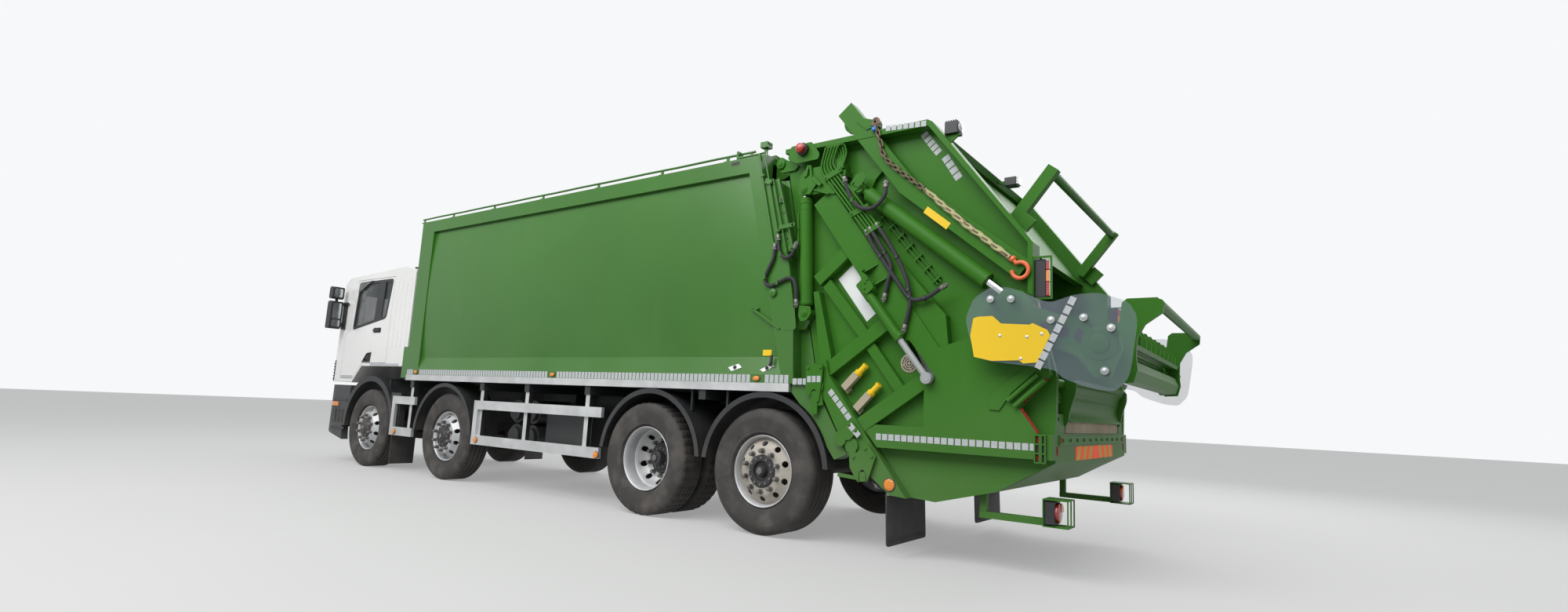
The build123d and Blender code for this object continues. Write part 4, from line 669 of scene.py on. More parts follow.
for number in "1234":
    look = axleLook[number]
    low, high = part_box(f"tyre_{number}_right")
    station, carrier, hub = (low.x + high.x) / 2 - axleX, "wheel_" + number + "_{}", look["hub"]
    centre, face, start = at(station, look["place"], hubHeight), hub[-1][1], hub[0][1] - 0.14
    for form in pairOf("tread_" + number, tyreRubber, carrier, "tyre_rubber", sharpAngle=0.5,
                       replaces="tyre_" + number + "_{}"):
        if "twin" in look:
            for place in (look["place"], look["twin"]):
                addTyre(form, station, place, look["tyreWidth"], look["bead"], True)
        else:
            addTyre(form, station, (low.y + high.y) / 2, high.y - low.y, look["bead"], False)
    for form in pairOf("wheelNuts_" + number, darkSteel, carrier, "cast", bevel=0.0015, segments=1):
        size, long = nutLook["size"], nutLook["long"]
        for t in angles(nutLook["count"], 0.5):
            form.lathe([(size * 1.25, 0), (size * 1.25, long * 0.1), (size, long * 0.12), (size, long * 0.8),
                        (size * 0.86, long * 0.94), (size * 0.5, long), (0, long)],
                       centre + spoke(nutLook["ring"], t, look["nutFace"]), count=12)
    for form in pairOf("rim_" + number, [rimSilver, hubCast, rimDusty], carrier, "rim_silver", sharpAngle=0.55,
                       replaces=carrier):
        addBarrel(form, centre, look["width"])
        form.mark = look["dusty"]
        addDisc(form, centre, 1, look)
        form.mark = 0
        if "twin" in look:
            inner = at(station, look["twin"], hubHeight)
            addBarrel(form, inner, look["width"])
            addDisc(form, inner, -1, look)
        form.mark = 1
        form.turn([(rimLook["bore"], start), *hub[:-1], (0.02, face), (0.02, start)], centre, 40)
        form.rod(centre + Vector((0, face - 0.05, 0)), centre + Vector((0, face + 0.001, 0)), 0.022)
    for form in pairOf("hubBolts_" + number, darkSteel, carrier, "cast"):
        ring, count, seat = look["bolts"]
        for t in angles(count):
            form.lathe([(0.0105, 0), (0.0105, 0.008), (0.0085, 0.01), (0, 0.01)],
                       centre + spoke(ring, t, seat), count=6)
        form.lathe([(0.03, 0), (0.03, 0.012), (0.025, 0.016), (0, 0.016)], centre + Vector((0, face, 0)), count=6)
print("wheels done")


# Tape squares and markers on the body's side

tapeThick = 0.0014
gateTape = (      # start, end, width, count, side plane
    ((7.87, 3.278), (8.224, 3.254), 0.044, 7, 1.25), ((8.146, 3.229), (8.285, 3.037), 0.06, 5, 1.14),
    ((8.327, 3.01), (8.45, 2.81), 0.06, 4, 1.14), ((7.435, 1.206), (7.632, 0.985), 0.046, 5, 1.235),
    ((7.64, 0.95), (7.735, 0.862), 0.046, 2, 1.2656), ((7.236, 1.286), (7.372, 1.29), 0.05, 3, 1.2656),
    ((7.855, 0.869), (9.1, 0.869), 0.046, 24, 1.235),
)
railTape = {"from": 1.02, "to": 7.05, "count": 121, "rows": (1.252, 1.318), "inset": 0.005, "long": 0.04}
railMarkers = {"places": (1.25, 4.0, 6.72), "clear": 0.075, "shape": (1.285, 1.25, 0.034, 0.62, 0.016)}
for form in pairOf("gateTape", whiteTape, "tailgate", "clear_sheet"):
    for start, end, wide, count, y in gateTape:
        form.tiles(start, end, wide, count, 0.01, y)
for form in pairOf("railTape", whiteTape, "chassis", "clear_sheet"):
    look = railTape
    for i in range(look["count"]):
        x = look["from"] + (look["to"] - look["from"]) * i / look["count"] + look["inset"]
        if all(abs(x + look["long"] / 2 - place) >= railMarkers["clear"] for place in railMarkers["places"]):
            form.slab(x, x + look["long"], 1.25, 1.25 + tapeThick, *look["rows"])
for form in pairOf("railMarkers", [amberLens, blackPlastic], "chassis", "lamp_lens"):
    for x in railMarkers["places"]:
        form.oval(x, *railMarkers["shape"])
print("tape done")


# Locking plates, posts, vent and blank plates on the tailgate's sides

lockLook = {
    "plates": (      # at the latches, from top to bottom
        ((7.225, 1.395), (7.385, 1.405), (7.38, 1.3), (7.356, 1.114), (7.336, 1.106), (7.333, 1.196), (7.308, 1.212),
         (7.282, 1.192), (7.28, 1.165), (7.228, 1.172)),
        ((7.507, 0.842), (7.53, 0.882), (7.576, 0.907), (7.662, 0.972), (7.726, 0.908), (7.651, 0.832), (7.618, 0.828),
         (7.606, 0.8), (7.582, 0.778), (7.545, 0.782), (7.512, 0.808)),
        ((7.652, 0.693), (7.807, 0.812), (7.877, 0.725), (7.832, 0.588), (7.808, 0.529), (7.798, 0.6), (7.768, 0.622),
         (7.74, 0.598), (7.738, 0.52), (7.715, 0.545), (7.659, 0.626)),
    ),
    "tongues": (((7.284, 1.19), (7.34, 1.192), (7.343, 1.012), (7.286, 1.009)),
                ((7.742, 0.6), (7.794, 0.604), (7.797, 0.535), (7.744, 0.528))),
    "lever": ((7.553, 0.563), (7.722, 0.552), 0.026, 1.236, 1.262),
    "bolts": ((7.245, 1.375), (7.365, 1.382), (7.69, 0.705), (7.79, 0.775), (7.845, 0.722), (7.64, 0.945),
              (7.7, 0.905)),
}
postLook = {      # base, joint and tip of each post
    "rows": (((7.546, 1.224), (7.658, 1.335), (7.735, 1.406)), ((7.66, 1.065), (7.774, 1.183), (7.853, 1.261))),
    "box": (0.058, 1.165, 1.215), "foot": (0.078, 1.141, 1.168),
}
ventLook = {"x": 8.075, "z": 1.426, "radius": 0.072, "bolts": 0.063,
            "slots": ((0.012, 0.02), (0.03, 0.038), (0.048, 0.056)), "web": 0.22}
for form in pairOf("lockPlates", tailPaint, "tailgate", "green_paint", bevel=0.002):
    for outline in lockLook["plates"]:
        form.plate(outline, 1.2535, 1.2655)
    for outline in lockLook["tongues"]:
        form.plate(outline, 1.236, 1.2625)
    for x, z in lockLook["bolts"]:
        form.bolt(x, 1.2655, z)
    form.bar(*lockLook["lever"])
for form in pairOf("postBoxes", tanPaint, "tailgate", "grey_paint", bevel=0.002):
    for base, joint, tip in postLook["rows"]:
        base, joint = Vector(base), Vector(joint)
        ahead = (joint - base).normalized()
        form.bar(base, joint, *postLook["box"])
        form.bar(base - ahead * 0.02, base + ahead * 0.03, *postLook["foot"])
for form in pairOf("postCaps", yellowPaint, "tailgate", "dark_plastic"):
    for base, joint, tip in postLook["rows"]:
        joint, tip = (at(x, 1.19, z) for x, z in (joint, tip))
        long = (tip - joint).length
        form.lathe([(0.031, 0), (0.033, 0.004), (0.033, 0.024), (0.024, 0.032), (0.0235, long - 0.02),
                    (0.027, long - 0.016), (0.027, long - 0.004), (0.022, long), (0, long)], joint, tip - joint, 20)
for form in pairOf("ventDisc", [tanPaint, blackPlastic], "tailgate", "grey_paint"):
    look, x, z = ventLook, ventLook["x"], ventLook["z"]
    form.lathe([(look["radius"], 0), (look["radius"], 0.004), (look["radius"] - 0.003, 0.006), (0, 0.006)],
               at(x, 1.1402, z), count=36)
    for t in angles(6):
        form.bolt(x + look["bolts"] * math.cos(t + 0.3), 1.146, z + look["bolts"] * math.sin(t + 0.3), 0.004, 0.003)
    # painted shade: the slots are thin black sheets where the vent's openings show their dark inside
    form.mark = 1
    for ring, (near, far) in enumerate(look["slots"]):
        for start in angles(4):
            turns = [start + 0.2 * ring + (math.pi / 2 - look["web"]) * k / 6 for k in range(7)]
            outline = [(near, t) for t in turns] + [(far, t) for t in turns[::-1]]
            form.plate([(x + r * math.cos(t), z + r * math.sin(t)) for r, t in outline], 1.1462, 1.1468)
for form in pairOf("blankPlate", whiteFilm, "tailgate", "white_paint", bevel=0.001):
    form.plate([(7.424, 2.11), (7.57, 2.232), (7.842, 1.868), (7.7, 1.752)], 1.1402, 1.1432)
for form in pairOf("loadPlate", yellowPaint, "tailgate", "dark_plastic", bevel=0.0006):
    form.bar((8.227, 2.575), (8.413, 2.424), 0.055, 1.2452, 1.2468)
for form in pairOf("sideReflector", [amberLens, blackPlastic], "tailgate", "lamp_lens"):
    form.oval(7.982, 0.526, 1.235, 0.043)
print("tailgate plates done")


# Hydraulic pipes in their clamps, and the hoses held beside them

pipeLook = {      # the first and the last pipe of five, as (station, height, distance across)
    "count": 5, "radius": 0.0095, "face": 1.278,
    "first": ((7.448, 3.04, 1.252), (7.405, 3.15, 1.22), (7.372, 3.226, 1.235), (7.326, 3.215, 1.262),
              (7.28, 3.02, 1.262), (7.748, 2.428, 1.262)),
    "last": ((7.492, 3.04, 1.252), (7.505, 3.15, 1.22), (7.487, 3.226, 1.235), (7.446, 3.215, 1.262),
             (7.392, 3.06, 1.262), (7.85, 2.47, 1.262)),
    "clamps": (((7.33, 2.935), (7.492, 3.0)), ((7.59, 2.6), (7.755, 2.655)), ((7.735, 2.44), (7.86, 2.5))),
}
hoseLook = {
    "radius": 0.0165, "y": 1.262,
    "runs": (
        ((7.75, 2.425), (7.8, 2.33), (7.87, 2.235), (7.99, 2.07), (8.12, 1.905), (8.24, 1.895), (8.363, 1.96)),
        ((7.785, 2.448), (7.85, 2.35), (7.905, 2.262), (7.96, 2.15), (7.935, 2.03), (7.918, 1.95)),
        ((7.845, 2.475), (7.915, 2.37), (8.009, 2.22), (8.09, 2.05), (8.125, 1.87), (8.091, 1.705)),
    ),
    "clips": ((7.87, 2.235), (8.12, 1.905), (7.905, 2.262), (8.009, 2.22), (8.11, 1.96), (8.24, 1.895)),
}
for form in pairOf("hydraulicPipes", tailPaint, "tailgate", "green_paint"):
    look = pipeLook
    for share in (i / (look["count"] - 1) for i in range(look["count"])):
        path = [Vector(a).lerp(Vector(b), share) for a, b in zip(look["first"], look["last"])]
        form.tube(roundPath([at(x, y, z) for x, z, y in path], 0.06, 7), look["radius"], 12)
    for a, b in look["clamps"]:
        form.bar(a, b, 0.045, 1.236, look["face"])
        for x, z in (Vector(a).lerp(Vector(b), t) for t in (0.08, 0.92)):
            form.bolt(x, look["face"], z, 0.008, 0.008)
hoses = [[at(x, hoseLook["y"], z) for x, z in run] for run in hoseLook["runs"]]
for form in pairOf("heldHoses", hoseRubber, "tailgate", "rubber"):
    for path in hoses:
        form.tube(smoothPath(path, 8), hoseLook["radius"], 12)
for form in pairOf("hoseFittings", [darkSteel, blackPlastic], "tailgate", "galvanised"):
    for path in hoses:
        form.fittings(path, hoseLook["radius"] * 0.8, 0.045)
    form.mark = 1
    for x, z in hoseLook["clips"]:
        form.lathe(collar(0.022, 0.022, 0.002), at(x - 0.01, hoseLook["y"], z), rearward, 14)
        form.slab(x - 0.009, x + 0.009, 1.236, 1.25, z - 0.01, z + 0.01)
print("pipes and hoses done")


# Hoist chains with their hooks, sleeves and shackles

chainLook = {
    "route": ((7.79, 3.33), (7.835, 3.18), (7.905, 3.005), (8.24, 2.71), (8.58, 2.4), (8.9, 2.125)), "y": 1.268,
    "wire": 0.0068, "straight": 0.0175, "bend": 0.0142, "pitch": 0.0455, "steps": 20, "sides": 8,
}
hookLook = {"centre": (8.945, 1.268, 2.055), "reach": 0.056, "radius": 0.0145, "from": 118, "sweep": 300}
sleeveLook = {"from": (8.225, 2.722), "to": (8.87, 2.15), "radius": 0.0205, "lobes": 3, "turns": 9, "rows": 84,
              "ring": 18}
shackleLook = {"centre": (7.792, 3.338), "wide": 0.03, "tall": 0.036, "radius": 0.0095}


def addLink(form, centre, ahead, flat):
    look, other, points = chainLook, ahead.cross(flat), []
    for t in angles(look["steps"]):
        run = look["straight"] if math.cos(t) >= 0 else -look["straight"]
        place = centre + ahead * (run + look["bend"] * math.cos(t)) + flat * look["bend"] * math.sin(t)
        out = ahead * math.cos(t) + flat * math.sin(t)
        points += [place + (out * math.cos(s) + other * math.sin(s)) * look["wire"] for s in angles(look["sides"])]
    form.add(points, loop(look["steps"], look["sides"], closed=True))


def walk(route, step):      # evenly spaced places with their directions along straight runs
    places, left = [], 0.0
    for a, b in zip(route, route[1:]):
        long, place = (b - a).length, left
        while place < long:
            places.append((a.lerp(b, place / long), (b - a).normalized()))
            place += step
        left = place - long
    return places


for form in bothIn("chainLinks", [chainSteel, hookPaint], "tailgate", "galvanised", replaces="hoist_chains"):
    look, hook, centre = chainLook, hookLook, at(*hookLook["centre"])
    form.mark = 0
    route = [form.mirror(p) for p in smoothPath([at(x, look["y"], z) for x, z in look["route"]])]
    for i, (place, ahead) in enumerate(walk(route, look["pitch"])):
        addLink(form, place, ahead, across if i % 2 else ahead.cross(across).normalized())
    form.mark = 1
    turns = [math.radians(hook["from"] - hook["sweep"] * i / 21) for i in range(22)]
    ring = [centre + spoke(hook["reach"], t) for t in turns]
    form.tube([centre + Vector((-0.05, 0, 0.085)), centre + Vector((-0.04, 0, 0.068)), *ring], hook["radius"], 12)
    form.lathe([(0.02, 0), (0.024, 0.006), (0.024, 0.02), (0.018, 0.026)], centre + Vector((-0.058, 0, 0.092)),
               (0.5, 0, -0.6), 14)
for form in pairOf("chainSleeve", sleeveCloth, "tailgate", "rubber", sharpAngle=1.2):
    look, points = sleeveLook, []
    start, end = (at(x, chainLook["y"], z) for x, z in (look["from"], look["to"]))
    ahead = (end - start).normalized()
    up = Vector((-ahead.z, 0, ahead.x))
    for t in (i / look["rows"] for i in range(look["rows"] + 1)):
        sag = Vector((0.004 * math.sin(9 * t), 0, 0.003 * math.sin(21 * t) - 0.01 * math.sin(math.pi * t)))
        for s in angles(look["ring"]):
            swell = 1 + 0.16 * math.cos(look["lobes"] * s + 2 * math.pi * look["turns"] * t) + 0.05 * math.sin(37 * t)
            radius = look["radius"] * swell * (0.72 + 0.28 * min(1, 8 * t, 8 * (1 - t)))
            out = up * radius * math.cos(s) + across * radius * 0.85 * math.sin(s)
            points.append(form.mirror(start.lerp(end, t) + sag + out))
    form.add(points, [*loop(look["rows"] + 1, look["ring"]), *caps(look["rows"] + 1, look["ring"])])
for form in pairOf("chainShackle", [chainSteel, blueTie], "tailgate", "galvanised"):
    look, (x, z) = shackleLook, shackleLook["centre"]
    turns = [math.pi * i / 9 - 0.3 for i in range(13)]
    form.tube([at(x + look["wide"] * math.cos(t), 1.268, z + look["tall"] * math.sin(t)) for t in turns],
              look["radius"])
    form.lathe([(0.008, 0), (0.008, 0.08), (0.013, 0.08), (0.013, 0.092), (0, 0.092)], at(7.748, 1.268, 3.326),
               rearward, 10)
    form.mark = 1
    form.lathe([(0.016, 0), (0.023, 0.008), (0.021, 0.018), (0.024, 0.028), (0.015, 0.036)], at(7.778, 1.268, 3.302),
               (0.2, 0, -1), 12)
print("chains done")


# Lamps at the rear

lampLook = {
    "housing": (9.03, 9.102, 1.141, 1.226, 1.866, 2.129), "lens": (9.1, 9.124, 1.149, 1.218), "from": 1.876,
    "tall": 0.243,
    "shares": ((0.4, 0), (0.34, 1), (0.26, 0)), "round": (9.1233, 1.04, 0.445), "wedge": (1.036, 0.449, 0.06),
}
for form in bothIn("rearLampLenses", [redLens, amberLens, clearLens], "tailgate", "lamp_lens", bevel=0.002,
                   replaces="rear_lamps"):
    look, low = lampLook, lampLook["from"]
    for share, mark in look["shares"]:
        high = low + share * look["tall"]
        form.mark = mark
        form.slab(*look["lens"], low + 0.002, high - 0.002)
        low = high
    x, y, z = look["round"]
    form.lathe([(0.066, 0), (0.067, 0.01), (0.064, 0.018), (0.05, 0.022), (0, 0.023)], at(x, y, z), rearward, 32)
    form.mark = 1
    y, z, radius = look["wedge"]
    turns = [math.pi / 2 * i / 6 for i in range(7)]
    wedge = [(y, z), *[(y - radius * math.sin(t), z + radius * math.cos(t)) for t in turns]]
    form.prism([at(x + 0.014, u, v) for u, v in wedge], (0.014, 0, 0))
    if form.sign < 0:      # the work lamp and the lamp at the roof's middle
        form.mark = 2
        form.lathe([(0.04, 0), (0.042, 0.008), (0.038, 0.014), (0.022, 0.018), (0, 0.019)], at(8.447, 1.14, 3.212),
                   rearward, 28)
        form.slab(8.399, 8.419, -0.351, -0.449, 3.211, 3.274)
for form in bothIn("rearLampHousings", blackPlastic, "tailgate", "black_plastic", bevel=0.004):
    form.slab(*lampLook["housing"])
    form.slab(9.0563, 9.1253, 0.968, 1.112, 0.37, 0.52)
    if form.sign < 0:
        form.slab(8.344, 8.448, 1.192, 1.088, 3.163, 3.26)
        for x in (8.35 + 0.019 * i for i in range(5)):
            form.slab(x, x + 0.008, 1.186, 1.094, 3.258, 3.272)
        form.slab(8.29, 8.4, -0.343, -0.457, 3.203, 3.282)
for form in bothIn("sideBeacons", [redLens, blackPlastic], "tailgate", "lamp_lens"):
    form.mark = 1
    form.lathe([(0.052, 0), (0.055, 0.006), (0.055, 0.03), (0.046, 0.04)], at(7.098, 1.2566, 3.232), count=28)
    form.mark = 0
    form.lathe([(0.042, 0.04), (0.044, 0.05), (0.04, 0.07), (0.026, 0.082), (0, 0.085)], at(7.098, 1.2566, 3.232),
               count=28)
print("rear lamps done")


# Cab trim, glass and lamps

cabLook = {
    "side": 1.2, "window": ((-0.7, 1.905), (-0.65, 2.545), (0.262, 2.545), (0.18, 2.04)),
    "pillar": ((-0.135, 1.992), (-0.105, 2.545), (0.085, 2.545), (0.06, 2.022)),
    "recess": ((-0.345, 1.412), (-0.22, 1.54), (-0.092, 1.553), (-0.104, 1.412)),
    "grip": ((-0.225, 1.204, 1.44), (-0.225, 1.23, 1.44), (-0.15, 1.23, 1.53), (-0.15, 1.204, 1.53)),
    "handle": (-0.09, 0.08, 1.2, 1.222, 1.842, 1.872), "handlePlate": (-0.105, 0.095, 1.198, 1.202, 1.822, 1.892),
    "deflector": ((-0.665, 2.4), (-0.655, 2.56), (-0.25, 2.575), (-0.42, 2.52)),
    "corner": (-1.055, 0.84, 0.36), "bumperCorner": (-0.97, 0.72, 0.48),      # centre and radius seen from above
    "swages": (0.43, 0.545, 0.66, 0.775), "tapePitch": 0.052, "tapeLong": 0.048,
    "tapes": {"doorTape": ("door_{}", 7, -0.918, 1.192, 1.224), "cabTape": ("cab", 15, -0.092, 1.3635, 1.3965)},
}
mirrorLook = {      # across and height of each glass, with its plane
    "glasses": ((2.035, 2.262, 0.022, -0.9752), (1.918, 2.018, 0.022, -0.9752), (2.35, 2.475, 0.025, -0.9822)),
    "frames": ((1.9, 2.28, -0.977), (2.333, 2.492, -0.984)),
    "strips": ((-0.983, -0.978, 1.288, 1.402, 2.346, 2.35), (-0.976, -0.97, 1.288, 1.402, 2.019, 2.034)),
    "arm": ((-1.03, 1.215, 2.255), (-1.02, 1.245, 2.262), (-0.9, 1.222, 2.262)),
}
roofPipe = ((0.466, 1.02, 2.712), (0.48, 1.02, 2.745), (0.8, 1.02, 2.7), (0.876, 1.02, 2.64), (0.878, 1.02, 2.42))


def grow(points, amount):      # an outline moved outward from its middle line by line
    points = [Vector(p) for p in points]
    area = sum(a.x * b.y - b.x * a.y for a, b in zip(points, points[1:] + points[:1]))
    turn, moved = 1 if area > 0 else -1, []
    for a, b, c in bends(points):
        u, v = (b - a).normalized(), (c - b).normalized()
        n, m = Vector((u.y, -u.x)) * turn, Vector((v.y, -v.x)) * turn
        moved.append(b + (n + m) / (1 + n.dot(m)) * amount)
    return moved


def planPath(corner, rear, first, last, proud):      # along a side and round its front corner, seen from above
    x, y, radius = corner
    path = [] if rear is None else [(rear, y + radius + proud)]
    for turn in (math.radians(first + (last - first) * i / 10) for i in range(11)):
        path.append((x - (radius + proud) * math.sin(turn), y + (radius + proud) * math.cos(turn)))
    return path


def addPlanStrip(form, corner, rear, last, z0, z1, proud, first=0.0):
    outer, inner = planPath(corner, rear, first, last, proud), planPath(corner, rear, first, last, -0.004)
    form.prism([at(x, y, z0) for x, y in outer + inner[::-1]], (0, 0, z1 - z0))


look, y, corner = cabLook, cabLook["side"], cabLook["bumperCorner"]
for form in pairOf("windowTrim", blackPlastic, "door_{}", "black_plastic", bevel=0.002):
    outer, inner = roundOutline(grow(look["window"], 0.026), 0.06), roundOutline(grow(look["window"], -0.012), 0.035)
    form.ring([at(x, y - 0.006, z) for x, z in outer], [at(x, y - 0.006, z) for x, z in inner], (0, 0.009, 0))
    form.plate(look["pillar"], y - 0.01, y + 0.001)
    form.plate(look["recess"], y - 0.002, y + 0.004)
    form.tube(roundPath([at(*place) for place in look["grip"]], 0.016), 0.01)
    form.slab(*look["handle"])
    form.slab(*look["handlePlate"])
for form in pairOf("windDeflector", visorSheet, "door_{}", "tinted"):
    form.plate(roundOutline(look["deflector"], 0.02), y + 0.012, y + 0.016)
    for x, z in ((-0.6, 2.54), (-0.33, 2.56)):
        form.slab(x - 0.012, x + 0.012, y, y + 0.013, z - 0.008, z + 0.008)
for name, (body, count, first, low, high) in look["tapes"].items():
    for form in pairOf(name, whiteTape, body, "clear_sheet"):
        for x in (first + look["tapePitch"] * i for i in range(count)):
            form.slab(x, x + look["tapeLong"], y, y + tapeThick, low, high)
for form in pairOf("cabSwages", whitePaint, "cab", "white_paint", bevel=0.002):
    for x in look["swages"]:
        form.plate(roundOutline([(x, 1.62), (x, 2.56), (x + 0.022, 2.56), (x + 0.022, 1.62)], 0.009), y - 0.002,
                   y + 0.005)
for form in pairOf("cornerVent", blackPlastic, "cab", "black_plastic"):
    addPlanStrip(form, look["corner"], None, 46, 1.14, 1.44, 0.004, first=10)
    for z in (1.165 + 0.044 * i for i in range(6)):
        addPlanStrip(form, look["corner"], None, 44, z, z + 0.012, 0.012, first=13)
for form in pairOf("bumperStrips", guardMetal, "chassis", "aluminium", bevel=0.001):
    for z in (0.858, 0.462):
        addPlanStrip(form, corner, -0.614, 8, z, z + 0.036, 0.006)
for form in pairOf("bumperLamp", amberLens, "chassis", "lamp_lens", bevel=0.003):
    addPlanStrip(form, corner, -0.857, 16, 0.784, 0.842, 0.012)
for form in pairOf("bumperSlots", blackPlastic, "chassis", "black_plastic", bevel=0.001):
    addPlanStrip(form, corner, -0.62, 12, 0.755, 0.768, 0.003)
    addPlanStrip(form, corner, -0.64, 10, 0.56, 0.74, 0.002)
    addPlanStrip(form, corner, -0.903, 0, 0.56, 0.74, 0.009)
    for x in (-0.8, -0.7):
        form.slab(x - 0.006, x + 0.006, 1.196, 1.209, 0.56, 0.74)
for form in pairOf("mirrorGlass", mirrorFace, "cab", "ram_steel"):
    for low, high, bend, x in mirrorLook["glasses"]:
        form.prism([at(x, u, v) for u, v in roundOutline(rectangle(1.29, 1.4, low, high), bend)], (0.004, 0, 0))
for form in pairOf("mirrorFrame", blackPlastic, "cab", "black_plastic", bevel=0.0015):
    for low, high, x in mirrorLook["frames"]:
        outer = roundOutline(rectangle(1.268, 1.422, low - 0.004, high + 0.004), 0.04)
        inner = roundOutline(rectangle(1.288, 1.402, low + 0.014, high - 0.014), 0.026)
        form.ring([at(x, u, v) for u, v in outer], [at(x, u, v) for u, v in inner], (0.01, 0, 0))
    for strip in mirrorLook["strips"]:
        form.slab(*strip)
    form.tube(roundPath([at(*place) for place in mirrorLook["arm"]], 0.02), 0.013)
for form in pairOf("roofPipe", blackPlastic, "cab", "black_plastic"):
    form.tube(roundPath([at(*place) for place in roofPipe], 0.06, 7), 0.01)
    for x, z in ((0.5, 2.742), (0.76, 2.706)):
        form.slab(x - 0.01, x + 0.01, 1.006, 1.034, z - 0.06, z + 0.004)

wiperLook = {"spans": ((-0.62, -0.08), (0.08, 0.62)), "foot": (-1.392, 1.745), "tip": (-1.336, 1.985), "proud": -0.046}
form = Form("screenWipers")
for y0, y1 in wiperLook["spans"]:
    (x0, z0), (x1, z1), out = wiperLook["foot"], wiperLook["tip"], wiperLook["proud"]
    foot, tip = at(x0, y0, z0), at(x1, y1, z1)
    form.lathe([(0.022, 0), (0.024, 0.006), (0.018, 0.022), (0, 0.024)], foot, (-1, 0, 0.3), 16)
    middle = foot.lerp(tip, 0.5) + Vector((-0.06, 0, -0.01))
    form.tube([foot + Vector((-0.018, 0, 0.004)), middle, tip + Vector((-0.052, 0, 0))], 0.007, 8)
    form.tube([tip + Vector((out, y, z)) for y, z in ((-0.27, -0.098), (0, 0), (0.2, 0.075))], 0.006, 8)
form.build(blackPlastic, "cab", "black_plastic")
meshLook = {"rows": 5, "low": 1.2183, "step": 0.08388, "tall": 0.0679, "count": 33, "from": -0.832, "pitch": 0.052}
form, look = Form("grilleMesh"), meshLook
for low in (look["low"] + row * look["step"] for row in range(look["rows"])):
    for y in (look["from"] + look["pitch"] * i for i in range(look["count"])):
        form.slab(-1.4075, -1.3945, y - 0.003, y + 0.003, low, low + look["tall"])
form.build(blackPlastic, "cab", "black_plastic")
for form in bothIn("lampDetail", clearLens, "chassis", "head_lens"):
    for x, y, size in ((-1.434, 0.83, 0.052), (-1.402, 0.95, 0.046)):
        form.lathe([(size, 0), (size + 0.004, 0.006), (size, 0.012), (size * 0.8, 0.008), (size * 0.55, 0.02),
                    (0, 0.026)],
                   at(x, y, 0.71), (-1, 0, 0), 24)
form = Form("roofMarkers")
for y in (-0.8, -0.45, 0.0, 0.45, 0.8):
    form.mark = 1
    form.slab(-1.02, -0.95, y - 0.045, y + 0.045, 2.64, 2.662)
    form.mark = 0
    form.slab(-1.012, -0.96, y - 0.036, y + 0.036, 2.66, 2.684)
form.build([amberLens, blackPlastic], "cab", "lamp_lens", bevel=0.004)

bumperLook = {      # half width, low and high edge of each, on the bumper's face
    "face": -1.45, "plate": (0.26, 0.735, 0.845), "rim": 0.012, "intake": (0.6, 0.535, 0.675),
    "bars": (0.548, 0.582, 0.616, 0.65),
    "ribs": (-0.3, 0.0, 0.3), "seam": (0.68, 0.9, 0.912),
}


def addFacing(form, proud, back, half, low, high, middle=0.0):      # a flat piece on the bumper's face
    form.slab(bumperLook["face"] - proud, bumperLook["face"] + back, middle - half, middle + half, low, high)


look, form = bumperLook, Form("frontPlate")
half, low, high = look["plate"]
addFacing(form, 0.0045, 0.002, half + look["rim"], low - look["rim"], high + look["rim"])
form.mark = 1
addFacing(form, 0.006, -0.004, half, low, high)
form.build([blackPlastic, whiteFilm], "chassis", "white_paint", bevel=0.001)
form = Form("frontIntake")
half, low, high = look["intake"]
for outline in (look["intake"], look["seam"]):
    addFacing(form, 0.002, 0.002, *outline)
for z in look["bars"]:
    addFacing(form, 0.007, -0.001, half - 0.01, z, z + 0.013)
for y in look["ribs"]:
    addFacing(form, 0.0055, -0.001, 0.008, low, high, y)
form.build(blackPlastic, "chassis", "black_plastic", bevel=0.0015)
print("cab trim done")


# Seats

seatLook = {
    "places": {"left": -0.52, "right": 0.52}, "rows": 18, "columns": 22, "crown": 0.5, "seams": (-0.42, 0.42),
    "fill": (0.7, 0.65, 0.6),
    "base": ((-0.545, -0.175, 0.165, 1.405, 1.43), (-0.52, -0.2, 0.14, 1.43, 1.56), (-0.59, -0.13, 0.2, 1.56, 1.606)),
    "pleats": (1.455, 1.482, 1.509, 1.536),
}


def addPad(form, spot):      # spot(u, v, w) with u, v in -1..1 and w the side
    rows, columns, index, points, faces = seatLook["rows"], seatLook["columns"], {}, [], []

    def corner(i, k, w):      # both sides share the points of the edge
        edge = i in (0, rows) or k in (0, columns)
        key = (i, k, 0 if edge else w)
        if key not in index:
            u, v = -1 + 2 * i / rows, -1 + 2 * k / columns
            lift = 0.0 if edge else ((1 - abs(u) ** 4) * (1 - abs(v) ** 4)) ** seatLook["crown"]
            seam = sum(math.exp(-((v - line) * columns * 0.75) ** 2) for line in seatLook["seams"])
            index[key] = len(points)
            points.append(spot(u, v, w * lift * (1 - 0.1 * seam)))
        return index[key]

    for w in (1, -1):
        for i in range(rows):
            for k in range(columns):
                faces.append([corner(a, b, w) for a, b in ((i, k), (i + 1, k), (i + 1, k + 1), (i, k + 1))])
    form.add(points, faces)


def cushionSpot(y, u, v, w):
    pull = 0.98 - 0.04 * (1 - abs(u))
    return at(-0.37 + 0.262 * u * (1 - 0.03 * v * v), y + 0.232 * v * pull, 1.652 + 0.048 * w - 0.006 * u)


def backSpot(y, u, v, w):
    half = 0.222 * (1 - 0.14 * max(0, u) ** 2)
    return at(-0.105 + 0.062 * (u + 1) - 0.055 * w * (0.8 + 0.2 * v * v), y + half * v, 1.735 + 0.318 * (u + 1))


def headSpot(y, u, v, w):
    return at(0.03 + 0.006 * u - 0.034 * w, y + 0.12 * v * (1 - 0.1 * u * u), 2.375 + 0.04 * u)


